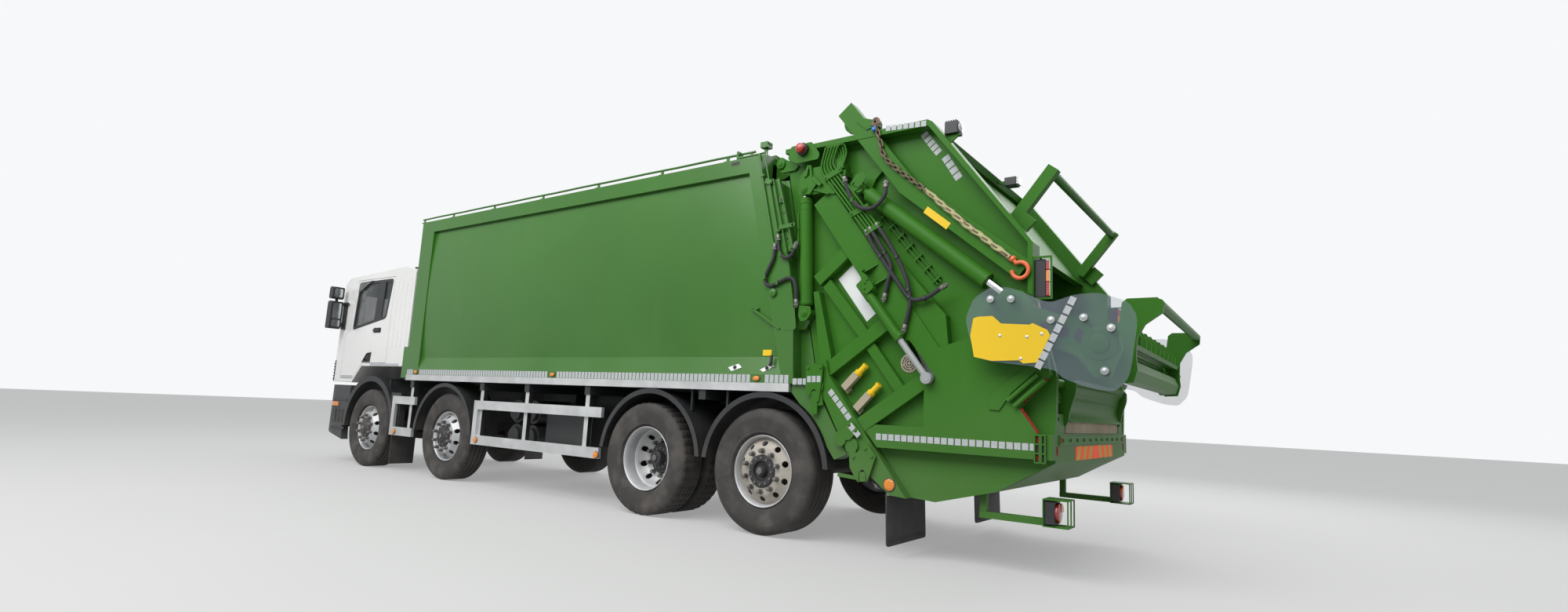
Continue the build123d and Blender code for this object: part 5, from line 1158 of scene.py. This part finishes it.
for side, y in seatLook["places"].items():
    for part, spot, fill in zip(("Cushion", "Back", "Head"), (cushionSpot, backSpot, headSpot), seatLook["fill"]):
        form = Form(f"seat{part}_{side}")
        addPad(form, lambda u, v, w: spot(y, u, v, w))
        pad = form.build(seatCloth, "cab", "seat_cloth", sharpAngle=1.2)
        if part == "Cushion":
            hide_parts("seats")
    form = Form(f"seatBase_{side}")
    for x0, x1, half, low, high in seatLook["base"]:
        form.slab(x0, x1, y - half, y + half, low, high)
    for z in seatLook["pleats"]:
        form.slab(-0.528, -0.192, y - 0.148, y + 0.148, z - 0.006, z + 0.006)
    for post in (y - 0.05, y + 0.05):
        form.rod(at(0.03, post, 2.3), at(0.03, post, 2.35), 0.006)
    form.tube(roundPath([at(-0.52, y + 0.215, 1.6), at(-0.16, y + 0.215, 1.6)], 0.02), 0.016)
    form.build(darkPlastic, "cab", "dark_plastic", bevel=0.004)
print("seats done")


# Hopper's rear: board, chevrons, loading flap, mud flaps and corner trim

boardLook = {"from": -0.865, "pitch": 0.1922, "count": 9, "low": 0.966, "high": 1.052, "wear": 0.004}
chevronLook = {"bars": 7, "wide": 0.0886, "lean": 0.06, "low": 0.775, "high": 0.874, "face": 9.1402, "thick": 0.0016}
flapLook = {
    "line": ((9.166, 1.046), (9.14, 1.078), (9.127, 1.118), (9.126, 1.158), (9.134, 1.196), (9.146, 1.204),
             (9.142, 1.222), (9.152, 1.256), (9.168, 1.282), (9.184, 1.29), (9.182, 1.304), (9.205, 1.336)),
    "cheek": ((9.098, 0.966), (9.16, 1.036), (9.172, 1.12), (9.214, 1.25), (9.214, 1.33), (9.098, 1.33)),
    "rib": ((9.098, 1.15), (9.128, 1.15), (9.15, 1.29), (9.098, 1.29)), "thick": 0.008, "half": 0.868,
}
mudFlapLook = {"y0": 0.555, "y1": 1.227, "low": 0.082, "high": 0.478, "foot": 7.962, "lean": 0.04, "waves": 3,
               "depth": 0.006, "thick": 0.011}

form, look = Form("hopperBoard"), boardLook      # worn board behind the loading edge
for i in range(look["count"]):
    y = look["from"] + i * look["pitch"]
    form.slab(9.0925, 9.138, y + 0.001, y + look["pitch"] - 0.001, look["low"], look["high"] - look["wear"] * (i % 3))
form.build(tanBoard, "tailgate", "grey_paint", bevel=0.003)
form = Form("sillStrip")
form.slab(9.138, 9.148, -1.06, 1.06, 0.884, 0.952)
for y in (-0.98 + 0.196 * i for i in range(11)):
    form.lathe(washerBolt(0.017, 0.011, 0.01), at(9.148, y, 0.918), rearward, 6)
form.build(tailPaint, "tailgate", "green_paint", bevel=0.002)
# the yellow bars carry painted shade in their colour, and both colours of bar have a painted glow
for form in bothIn("chevronBoard", [signalTape, shadedYellowTape], "tailgate", "clear_sheet"):
    look = chevronLook
    for i in range(look["bars"]):
        form.mark, last = i % 2, i == look["bars"] - 1
        a, b, low, high = i * look["wide"], (i + 1) * look["wide"], look["low"], look["high"]
        outline = [(a + look["lean"] if i else 0.0, low), (b if last else b + look["lean"], low), (b, high), (a, high)]
        form.prism([at(look["face"], u, v) for u, v in outline], (look["thick"], 0, 0))
for form in bothIn("rearCornerReflectors", redTape, "tailgate", "lamp_lens", bevel=0.001):
    form.slab(9.1402, 9.144, 1.075, 1.11, 0.82, 0.88)
    form.slab(9.1482, 9.151, 1.015, 1.045, 0.896, 0.94)
for form in bothIn("loadingFlap", tailPaint, "tailgate", "green_paint", bevel=0.002, replaces="rear_flaps"):
    look = flapLook
    if form.sign < 0:
        form.plate([*look["line"], *[(x + look["thick"], z) for x, z in look["line"][::-1]]], look["half"],
                   -look["half"])
    form.plate(roundOutline(look["cheek"], 0.025), 0.868, 0.9)
    form.slab(9.096, 9.139, 0.898, 1.089, 1.283, 1.328)
    form.rod(at(9.118, 0.895, 1.305), at(9.118, 1.088, 1.305), 0.03)
    for y in (0.3, 0.6):
        form.plate(look["rib"], y, y + 0.01)
for form in bothIn("hopperPosts", tailPaint, "tailgate", "green_paint", bevel=0.002):
    form.slab(9.126, 9.137, 0.904, 1.076, 0.953, 1.096)      # post beside the board
    form.slab(9.11, 9.126, 0.904, 0.92, 0.953, 1.096)
    form.slab(9.1, 9.122, 0.94, 1.088, 1.196, 1.214)      # seat of the pin lug
    form.lathe([(0.04, 0), (0.04, 0.016), (0.02, 0.016), (0.02, 0.006), (0, 0.006)], at(9.108, 0.985, 1.205), rearward,
               24)
    form.lathe([(0.013, 0), (0.013, 0.008), (0, 0.009)], at(9.137, 1.046, 1.06), rearward, 6)
for form in bothIn("mudFlaps", flapRubber, "tailgate", "rubber"):
    look, points = mudFlapLook, []
    y0, y1 = look["y0"], look["y1"]
    outline = roundOutline(rectangle(y0, y1, look["low"], look["high"]), 0.03)
    for push in (0.0, look["thick"]):
        for y, z in outline:
            wave = look["depth"] * math.sin((y - y0) / (y1 - y0) * math.pi * look["waves"]) * (0.48 - z) / 0.4
            points.append(form.mirror(at(look["foot"] - (z - 0.08) * look["lean"] + wave + push, y, z)))
    form.add(points, [*caps(2, len(outline)), *loop(2, len(outline))])
    for z in (0.105, 0.12):
        x = 7.9725 - (z - 0.08) * look["lean"]
        form.slab(x, x + 0.004, y0 + 0.03, y1 - 0.03, z, z + 0.005)
for form in bothIn("mudFlapClamps", bareMetal, "tailgate", "galvanised", bevel=0.001):
    form.slab(7.957, 7.964, 0.56, 1.222, 0.445, 0.474)
    for y in (0.6 + 0.145 * i for i in range(5)):
        form.lathe(washerBolt(0.016, 0.01, 0.009), at(7.964, y, 0.459), rearward, 6)
for form in pairOf("cornerCage", [tailPaint, blackPlastic, redTape], "tailgate", "green_paint", bevel=0.001):
    # a black sheet behind the bars stands for the shade in the cage's recess: painted shade
    form.mark = 1
    form.slab(9.038, 9.105, 1.2345, 1.2365, 0.776, 0.944)
    form.mark = 2
    for low, high in ((0.786, 0.818), (0.9, 0.934)):
        form.slab(9.043, 9.063, 1.236, 1.238, low, high)
    form.mark = 0
    for x in (9.032, 9.064, 9.074, 9.1):
        form.slab(x, x + 0.009, 1.236, 1.2545, 0.768, 0.952)
    for z in (0.766, 0.826, 0.886, 0.944):
        form.slab(9.032, 9.109, 1.24, 1.2525, z, z + 0.01)
for form in pairOf("cornerTape", redTape, "tailgate", "clear_sheet"):
    form.tiles((8.94, 1.122), (9.058, 0.962), 0.018, 6, 0.004, 1.235)
    form.tiles((8.955, 1.152), (9.118, 1.322), 0.018, 7, 0.006, 1.235)
    form.slab(9.0302, 9.0316, 1.141, 1.16, 1.4, 1.84)
print("hopper rear done")


# Shields, arms and levers of the lift

shieldLook = {
    "plate": ((8.66, 1.717), (8.693, 1.727), (8.795, 1.729), (8.853, 1.676), (9.041, 1.663), (9.062, 1.673),
              (9.156, 1.626), (9.175, 1.591),
              (9.089, 1.415), (9.001, 1.408), (8.973, 1.429), (8.791, 1.425), (8.668, 1.452), (8.64, 1.6)),
    "sheet": ((8.64, 1.56), (8.6, 1.72), (8.66, 1.86), (8.79, 1.935), (8.93, 1.915), (9.16, 1.8), (9.33, 1.85),
              (9.47, 1.855),
              (9.64, 1.79), (9.692, 1.69), (9.64, 1.33), (9.56, 1.24), (9.44, 1.25), (9.26, 1.31), (9.19, 1.375),
              (8.7, 1.43)),
    "bolts": ((8.78, 1.845), (8.92, 1.84), (9.18, 1.69), (9.38, 1.7), (9.54, 1.63), (9.5, 1.365)),
    "plateBolts": ((8.845, 1.594), (9.026, 1.583), (9.12, 1.6), (8.985, 1.44)), "y": 1.372, "thick": 0.008,
}
armLook = {
    "face": 1.3252, "dots": ((9.23, 1.62, 0.048), (9.36, 1.59, 0.052), (9.12, 1.65, 0.036)),
    "lever": ((9.46, 1.54), (9.365, 1.655), 0.052, 1.3252, 1.3375), "bolts": ((8.7, 1.56), (8.905, 1.87), (9.555, 1.6)),
}
look, face = shieldLook, shieldLook["y"] + shieldLook["thick"]
for form in bothIn("shieldSheets", sheetGlass, "lift_arms", "clear_sheet", bevel=0.0015, replaces="lift_shields"):
    form.plate(curveOutline(look["sheet"]), look["y"], face)
for form in pairOf("shieldPlate", yellowPaint, "lift_arms", "dark_plastic", bevel=0.0008):
    form.plate(look["plate"], face + 0.0002, face + 0.0022)
for form in pairOf("shieldTape", whiteTape, "lift_arms", "clear_sheet"):
    form.tiles((9.325, 1.838), (9.09, 1.372), 0.042, 8, 0.012, face + 0.0002)
for form in pairOf("shieldBolts", bareMetal, "lift_arms", "galvanised"):
    for x, z in look["bolts"]:
        form.lathe([(0.0185, 0), (0.0185, 0.002), (0.015, 0.006), (0.008, 0.0095), (0, 0.01)], at(x, face + 0.0102, z),
                   count=20)
        form.lathe([(0.024, 0), (0.024, 0.01)], at(x, face, z), count=20)
    for x, z in look["plateBolts"]:
        form.lathe([(0.011, 0), (0.011, 0.002), (0.006, 0.005), (0, 0.0055)], at(x, face + 0.002, z), count=14)
look = armLook
for form in pairOf("armDetail", blackPlastic, "lift_arms", "black_plastic"):
    for x, z, radius in look["dots"]:
        form.lathe([(radius, 0), (radius, 0.0006)], at(x, look["face"], z), count=28)
for form in pairOf("armPins", tailPaint, "lift_arms", "green_paint", bevel=0.001):
    form.lathe([(0.11, 0), (0.11, 0.006), (0.1, 0.01), (0.06, 0.01), (0.06, 0.02), (0.052, 0.024), (0, 0.024)],
               at(9.46, look["face"], 1.54), count=32)
    form.bar(*look["lever"])
    for x, z in look["bolts"]:
        form.bolt(x, look["face"], z, 0.016, 0.014)
print("lift shields done")


# Gate rams, hinge corner and the pipes on the body's rear post

gateLook = {
    "ear": ((7.095, 2.9), (7.115, 2.934), (7.168, 2.988), (7.261, 2.95), (7.269, 2.924), (7.223, 2.87), (7.191, 2.826),
            (7.127, 2.835), (7.097, 2.863)),
    "fins": (((7.119, 2.985), (7.15, 3.082), (7.172, 3.079), (7.15, 2.985)),
             ((7.185, 2.975), (7.172, 3.079), (7.189, 3.079), (7.207, 2.975))),
    "step": ((7.219, 2.986), (7.306, 2.901), (7.286, 2.879), (7.207, 2.939)),
    "brace": ((7.225, 2.862), (7.372, 2.806), 0.012, 1.2505, 1.27),
    "hingeArm": ((6.752, 3.205), (6.798, 3.25), (6.931, 3.171), (6.991, 3.142), (6.949, 3.104), (6.81, 3.1),
                 (6.77, 3.14)),
    "topPlate": ((6.935, 3.175), (6.965, 3.283), (7.175, 3.293), (7.262, 3.175), (7.25, 3.128), (7.03, 3.122)),
    "earPin": ((0.034, 0), (0.034, 0.004), (0.028, 0.006), (0.028, 0.01), (0.016, 0.01), (0.014, 0.016), (0, 0.016)),
    "hingePin": ((0.046, 0), (0.046, 0.014), (0.04, 0.018), (0.02, 0.018), (0.018, 0.026), (0, 0.026)),
}
ramLook = {
    "foot": (7.17, 1.205, 1.825), "head": (7.11, 1.205, 2.89), "transfer": (0.56, 0.7, 0.86),
    "bracket": (7.096, 7.122, 1.212, 1.245, 1.898, 1.926),
    "collars": ((0.078, 0.03, 0.0585), (0.935, 0.05, 0.058), (0.88, 0.008, 0.0565)),      # along the ram, long, radius
    "clevis": ((7.13, 1.89), (7.241, 1.878), (7.251, 1.82), (7.206, 1.764), (7.151, 1.754), (7.125, 1.8)),
    "pin": ((0.03, 0), (0.03, 0.005), (0.022, 0.008), (0.014, 0.008), (0.013, 0.014), (0, 0.014)),
}
guideLook = {
    "top": ((6.81, 3.013), (6.87, 3.011)), "low": ((6.99, 2.345), (7.052, 2.382)), "flange": 0.009,
    "bars": (((6.905, 2.566), (7.052, 2.576), 0.036, 1.2885, 1.2965),
             ((6.634, 1.883), (6.934, 1.702), 0.022, 1.251, 1.259)),
    "slabs": ((6.883, 6.93, 1.258, 1.28, 2.79, 2.835), (6.713, 6.79, 1.2505, 1.276, 2.985, 3.012),
              (6.622, 6.7, 1.234, 1.259, 1.874, 1.888)),
    "bosses": (      # profile and place
        (((0.018, 0), (0.018, 0.008)), (7.052, 1.2885, 2.576), 20),
        (((0.03, 0), (0.03, 0.01), (0.014, 0.01), (0.014, 0.018), (0, 0.018)), (7.02, 1.258, 2.385), 20),
        (((0.036, 0), (0.036, 0.02), (0.03, 0.024), (0, 0.024)), (6.85, 1.248, 2.011), 24),
    ),
    "web": ((6.957, 1.832), (7.075, 1.881), (7.098, 1.711), (7.085, 1.692), (6.987, 1.684)),
    "holes": ((6.895, 2.945), (6.925, 2.7), (6.975, 2.47)), "window": (6.893, 6.92, 1.2801, 1.2806, 2.798, 2.827),
}
cornerLook = {
    "pipes": (((6.38, 1.24, 3.284), (6.6, 1.24, 3.284), (6.632, 1.264, 3.262), (6.672, 1.264, 3.072),
               (6.828, 1.264, 2.445), (6.851, 1.264, 2.409)),
              ((6.56, 1.2, 3.3), (6.668, 1.215, 3.3), (6.69, 1.266, 3.25), (6.76, 1.266, 2.982), (6.87, 1.266, 2.55),
               (6.884, 1.266, 2.491))),
    "hoses": (((6.851, 1.266, 2.405), (6.846, 1.27, 2.31), (6.8, 1.272, 2.215), (6.768, 1.268, 2.145),
               (6.78, 1.268, 2.09),
               (6.84, 1.27, 2.07), (6.93, 1.272, 2.102), (7.01, 1.274, 2.125), (7.07, 1.276, 2.105), (7.1, 1.28, 2.02),
               (7.104, 1.276, 1.94)),
              ((6.886, 1.268, 2.48), (6.897, 1.27, 2.4), (6.925, 1.274, 2.335), (6.985, 1.278, 2.3),
               (7.04, 1.28, 2.318), (7.062, 1.276, 2.372))),
    "clamps": ((6.688, 3.065), (6.765, 2.984), (6.855, 2.434), (6.883, 2.545)),
    "clips": ((6.772, 2.15), (6.905, 2.092), (6.925, 2.335)),
    "roofEye": ((6.56, 6.64, 1.09, 1.17, 3.372, 3.425), (6.588, 6.612, 1.118, 1.142, 3.284, 3.374),
                (6.552, 6.648, 1.105, 1.155, 3.404, 3.414)),
}
latchLook = {
    "plates": (((6.391, 1.376), (6.499, 1.409), (6.543, 1.377), (6.436, 1.343)),
               ((6.742, 1.358), (6.843, 1.404), (6.891, 1.391), (6.783, 1.34))),
    "handle": ((6.845, 1.246, 1.4), (6.868, 1.262, 1.405), (6.862, 1.25, 1.48)),
}


def slopeY(z):      # the side's outer face over the sloping sill
    return 1.25 - (z - 1.32) * 0.2535


look = gateLook
for form in pairOf("earPlate", tailPaint, "tailgate", "green_paint", bevel=0.002):
    form.plate(roundOutline(look["ear"], 0.008, 3), 1.2625, 1.2725)
    for fin in look["fins"]:
        form.plate(fin, 1.2515, 1.2715)
    form.plate(look["step"], 1.2505, 1.278)
    form.bar(*look["brace"])
    form.lathe(look["earPin"], at(7.132, 1.2725, 2.877))
    form.plate(roundOutline(look["hingeArm"], 0.015, 3), 1.1405, 1.16)
    form.lathe(look["hingePin"], at(6.8, 1.16, 3.18), count=28)
    form.plate(roundOutline(look["topPlate"], 0.018, 4), 1.2505, 1.2565)
look, foot = ramLook, at(*ramLook["foot"])
ahead = (at(*look["head"]) - foot).normalized()
for form in pairOf("gateRamRings", tailPaint, "tailgate_barrels", "green_paint", bevel=0.001):
    for start, long, radius in look["collars"]:
        form.lathe(collar(radius, long, 0.003), foot + ahead * start, ahead, 32)
    form.plate(roundOutline(look["clevis"], 0.012, 3), 1.2602, 1.268)
    form.lathe(look["pin"], at(7.183, 1.268, 1.822))
    form.slab(*look["bracket"])
    transfer = [foot + ahead * d + Vector((-0.062, 0.03, 0)) for d in look["transfer"]]
    form.tube([*transfer, transfer[-1] + Vector((0.018, -0.012, 0.012))], 0.0085)
    for place in transfer[:2]:
        form.lathe([(0.0125, 0), (0.0125, 0.022)], place + ahead * 0.02, ahead, 6)
look = guideLook
for form in pairOf("guidePost", greenPaint, "chassis", "green_paint", bevel=0.0015):
    (a, b), (c, d) = look["top"], look["low"]
    form.plate([a, b, d, c], 1.2505, 1.258)
    for start, end in ((a, c), (b, d)):
        form.bar(start, end, look["flange"], 1.258, 1.288)
    for bar in look["bars"]:
        form.bar(*bar)
    for slab in look["slabs"]:
        form.slab(*slab)
    for profile, place, count in look["bosses"]:
        form.lathe(profile, at(*place), count=count)
    form.plate(look["web"], 1.2502, 1.253)
# painted shade: a thin black sheet and discs where the post's window and holes show their dark inside
for form in pairOf("guideDetail", blackPlastic, "chassis", "black_plastic"):
    form.slab(*look["window"])
    for x, z in look["holes"]:
        form.lathe([(0.011, 0), (0.011, 0.0005)], at(x, 1.2582, z), count=16)
look = cornerLook
for form in pairOf("cornerPipes", greenPaint, "chassis", "green_paint", bevel=0.0015):
    for run in look["pipes"]:
        form.tube(roundPath([at(*place) for place in run], 0.05, 6), 0.0085)
    for x, z in look["clamps"]:
        form.slab(x - 0.024, x + 0.024, 1.2505, 1.279, z - 0.01, z + 0.01)
        form.bolt(x + 0.014, 1.279, z, 0.006, 0.006)
    for slab in look["roofEye"]:
        form.slab(*slab)
for form in pairOf("cornerHoses", [hoseRubber, darkSteel, greenPaint], "chassis", "rubber"):
    for run in look["hoses"]:
        path = [at(*place) for place in run]
        form.mark = 0
        form.tube(smoothPath(path), 0.0155, 14)
        form.mark = 1
        form.fittings(path, 0.0135)
    form.mark = 2
    for x, z in look["clips"]:
        form.slab(x - 0.01, x + 0.01, 1.2505, 1.292, z - 0.019, z + 0.019)
for form in pairOf("latchPlates", [whiteFilm, blackPlastic], "chassis", "galvanised", bevel=0.0008):
    for outline in latchLook["plates"]:
        form.mark = 0
        form.prism([at(x, slopeY(z) + 0.0005, z) for x, z in outline], (0, 0.004, 0.001))
        x, z = (sum(values) / 4 for values in zip(*outline))
        form.mark = 1
        form.bolt(x, slopeY(z) + 0.0045, z, 0.014, 0.012)
    form.tube(roundPath([at(*place) for place in latchLook["handle"]], 0.02), 0.013, 12)
for form in pairOf("sillLabel", yellowPaint, "chassis", "dark_plastic"):
    form.plate(rectangle(6.746, 6.837, 1.48, 1.53), 1.2115, 1.218)
for form in pairOf("cornerTiles", whiteTape, "chassis", "clear_sheet"):
    form.tiles((7.085, 1.266), (7.285, 1.268), 0.05, 4, 0.009, 1.25)
for form in pairOf("guardReflectors", [amberLens, blackPlastic], "chassis", "lamp_lens"):
    for x, z in ((0.871, 0.514), (2.709, 0.523), (4.779, 0.506)):
        form.oval(x, z, 1.25, 0.034, 0.92, 0.012)
print("hinge corner done")


# Roof rail, hangers and small parts under the body

roofRail = {"from": 0.86, "to": 6.52, "y": 1.185, "z": 3.338, "wave": 0.003,
            "posts": (0.9, 1.6, 2.5, 3.45, 4.4, 5.35, 6.2, 6.48)}
hangerLook = {
    "straps": ((5.915, 0.985), (6.335, 0.935), (0.455, 1.01)), "blocks": ((1.04, 1.15), (1.1, 1.03), (1.335, 1.12)),
    "stud": ((0.016, 0), (0.016, 0.03), (0.01, 0.032), (0.01, 0.05), (0, 0.05)),
}
for form in bothIn("roofRails", greenPaint, "chassis", "green_paint", bevel=0.001):
    look, y, z = roofRail, roofRail["y"], roofRail["z"]
    form.tube([at(look["from"] + (look["to"] - look["from"]) * i / 12, y,
                  z + look["wave"] * (i % 2)) for i in range(13)], 0.011)
    for x in look["posts"]:
        form.slab(x - 0.018, x + 0.018, y - 0.004, y + 0.004, 3.284, z + 0.004)
        form.slab(x - 0.03, x + 0.03, y - 0.024, y + 0.024, 3.284, 3.294)
    form.slab(6.33, 6.352, 1.15, 1.222, 3.286, 3.36)
for form in bothIn("railSlotShade", blackPlastic, "chassis", "black_plastic"):      # painted shade: black patches where the long holes at the rail's rear end show their dark inside
    form.plate(roundOutline(rectangle(6.3, 6.398, 3.214, 3.248), 0.016, 4), 1.2502, 1.2508)
for form in bothIn("guardHangers", chassisPaint, "chassis", "chassis_paint", bevel=0.002):
    for x, low in hangerLook["straps"]:
        form.slab(x - 0.011, x + 0.011, 1.13, 1.16, low, 1.185)
        form.slab(x - 0.024, x + 0.024, 1.112, 1.172, 1.176, 1.184)
    for x, z in hangerLook["blocks"]:
        form.slab(x - 0.03, x + 0.03, 0.384, 0.47, z - 0.035, z + 0.035)
        form.lathe(hangerLook["stud"], at(x, 0.47, z), count=6)
print("roof rail and hangers done")


# Ram heads, brackets and the pipes under the chain beams

headLook = {
    "plate": ((7.568, 2.86), (7.629, 2.939), (7.693, 2.947), (7.722, 2.9), (7.65, 2.81), (7.6, 2.79)),
    "plateBolts": ((7.603, 2.865), (7.667, 2.832)), "strap": ((7.59, 2.872), (7.68, 2.826), 0.036, 1.2632, 1.2712),
    "slide": ((7.72, 2.128), (7.762, 2.105), (7.845, 2.003), (7.842, 1.986), (7.79, 1.94), (7.752, 1.958),
              (7.738, 2.049)),
    "slideBolts": ((7.77, 2.03), (7.768, 1.985), (7.79, 2.055)), "gussets": ((7.735, 2.118), (7.824, 2.01)),
    "blocks": ((7.438, 7.5, 1.1405, 1.262, 3.01, 3.06), (7.455, 7.52, 1.1405, 1.255, 2.95, 2.995)),
    "beamPipe": ((7.8, 1.16, 2.602), (8.3, 1.16, 2.01)), "apart": (0.026, 0, 0.0208), "clips": 7,
    "ramHose": ((7.522, 1.262, 2.904), (7.548, 1.268, 2.83), (7.61, 1.28, 2.715), (7.7, 1.296, 2.64),
                (7.79, 1.304, 2.622), (7.865, 1.306, 2.655), (7.91, 1.302, 2.72), (7.908, 1.29, 2.775)),
    "slideFoot": (7.79, 1.275, 1.9477), "slideAhead": (0.615884, 0, -0.787837),
}
look = headLook
for form in pairOf("liftHeads", tailPaint, "tailgate", "green_paint", bevel=0.0015):
    form.plate(roundOutline(look["plate"], 0.01, 3), 1.2572, 1.2632)
    form.bar(*look["strap"])
    for x, z in look["plateBolts"]:
        form.bolt(x, 1.2712, z, 0.011, 0.01)
    form.plate(roundOutline(look["slide"], 0.006, 3), 1.3135, 1.322)
    for x, z in look["slideBolts"]:
        form.bolt(x, 1.322, z, 0.009, 0.009)
    for x, z in look["gussets"]:
        root = at(x, 1.2365, z)
        form.prism([root, root + Vector((0.1, 0, 0.078)), root + Vector((0, 0.075, 0))], (0.006, 0, -0.008))
        form.prism([root, root + Vector((-0.006, 0, 0.008)), root + Vector((-0.006, 0.084, 0.008)),
                    root + Vector((0, 0.084, 0))],
                   (0.02, 0, 0.016))
    for block in look["blocks"]:
        form.slab(*block)
    start, end = (at(*place) for place in look["beamPipe"])
    for shift in (Vector((0, 0, 0)), Vector(look["apart"])):
        form.tube([start.lerp(end, t) + shift for t in (0, 0.25, 0.5, 0.75, 1)], 0.0065, 8)
    for place in (start.lerp(end, 0.04 + 0.152 * i) for i in range(look["clips"])):
        x, z = place.x - axleX, place.z
        form.bar((x - 0.014, z - 0.011), (x + 0.042, z + 0.034), 0.014, 1.1402, 1.169)
for form in pairOf("ramHose", [hoseRubber, darkSteel, tailPaint], "tailgate", "rubber"):
    path = [at(*place) for place in look["ramHose"]]
    form.tube(smoothPath(path, 7), 0.0165, 14)
    form.mark = 1
    form.fittings(path, 0.0145)
    form.mark = 2
    form.slab(7.6, 7.622, 1.1405, 1.3, 2.698, 2.734)
# a gland ring at the rod end of each sliding ram
for form in pairOf("slideRings", tailPaint, "tailgate", "green_paint"):
    ahead = Vector(look["slideAhead"])
    form.lathe(collar(0.0385, 0.04, 0.002), at(*look["slideFoot"]) + ahead * 0.395, ahead, 28)
print("ram heads done")


# Stage, light and camera

stageLook = {
    "floor": (0.33, 0.33, 0.325), "floorGlow": (0.3, 0.3, 0.3), "backdrop": (0.93, 0.94, 0.95),
    "sky": (0.94, 0.97, 1.0),
    "skyLight": 0.46, "size": 60.0, "rings": 12,
}
lampRows = {      # place, target, size, power
    "key": ((1.0, -9.0, 9.5), (0.5, 0, 1.2), (14, 7), 1500.0),
    "fill": ((2.0, 8.0, 7.0), (0, 0, 1.0), (14, 6), 600.0),
}
view = {"station": (10.4807, -6.1745, 1.0362), "yaw": -35.515, "pitch": 8.068, "roll": 2.77, "focal": 929.48,
        "frame": 2000}


def makeFloor():
    rings, step = stageLook["rings"], stageLook["size"] / stageLook["rings"]
    form = Form("floor")
    for i in range(-rings, rings):
        for k in range(-rings, rings):
            form.add([(x * step, y * step, 0) for x, y in rectangle(i, i + 1, k, k + 1)], [(0, 1, 2, 3)])
    material, f = newFinish("floorFinish")
    seen = (f.make("LightPath", out="Is Camera Ray") + f.make("LightPath", out="Is Glossy Ray")
            + f.make("LightPath", out="Is Transmission Ray"))
    f.close(f.mix(f.noise(0.5), dim(stageLook["floor"], 0.97), dim(stageLook["floor"], 1.03)), 0.85,
            Emission_Color=f.mix(seen, (0, 0, 0), stageLook["floorGlow"]), Emission_Strength=1.0)
    mesh = bpy.data.meshes.new("floor")
    mesh.from_pydata(form.points, [], form.faces)
    mesh.materials.append(material)
    obj = bpy.data.objects.new("floor", mesh)
    bpy.context.scene.collection.objects.link(obj)


def makeSky():
    world = bpy.data.worlds.new("sky")
    bpy.context.scene.world = world
    world.use_nodes = True
    f = Finish(world.node_tree)

    def add(first, second):
        return f.make("Math", {"operation": "ADD", "use_clamp": True}, {0: first, 1: second})

    path = [f.make("LightPath", out=f"Is {ray} Ray") for ray in ("Camera", "Glossy", "Transmission")]
    shown = f.make("Background", {}, {"Color": (*stageLook["backdrop"], 1), "Strength": 1.0})
    light = f.make("Background", {}, {"Color": (*stageLook["sky"], 1), "Strength": stageLook["skyLight"]})
    share = add(add(path[0], path[1]), path[2])
    f.make("OutputWorld", {}, {"Surface": f.make("MixShader", {}, {0: share, 1: light, 2: shown})})


def makeLamp(name, place, target, size, power):
    data = bpy.data.lights.new(name, "AREA")
    data.shape, data.size, data.size_y, data.energy = "RECTANGLE", size[0], size[1], power
    lamp = bpy.data.objects.new(name, data)
    bpy.context.scene.collection.objects.link(lamp)
    lamp.location = place
    lamp.rotation_euler = (Vector(target) - Vector(place)).to_track_quat("-Z", "Y").to_euler()


def makeCamera():
    data = bpy.data.cameras.new("camera")
    data.sensor_width = 36.0
    data.lens = view["focal"] / view["frame"] * data.sensor_width
    data.clip_end = 300
    camera = bpy.data.objects.new("camera", data)
    bpy.context.scene.collection.objects.link(camera)
    yaw, pitch, roll = (math.radians(view[key]) for key in ("yaw", "pitch", "roll"))
    ahead = Vector((math.sin(yaw) * math.cos(pitch), math.cos(yaw) * math.cos(pitch), math.sin(pitch)))
    right = Vector((math.cos(yaw), -math.sin(yaw), 0))
    up = right.cross(ahead)
    rightRolled = right * math.cos(roll) + up * math.sin(roll)
    upRolled = up * math.cos(roll) - right * math.sin(roll)
    turn = Matrix((rightRolled, upRolled, -ahead)).transposed()
    camera.matrix_world = Matrix.Translation(at(*view["station"])) @ turn.to_4x4()
    bpy.context.scene.camera = camera


makeFloor()
makeSky()
for name, row in lampRows.items():
    makeLamp(name, *row)
makeCamera()
bpy.context.scene.view_settings.view_transform = "Standard"
print("stage done")
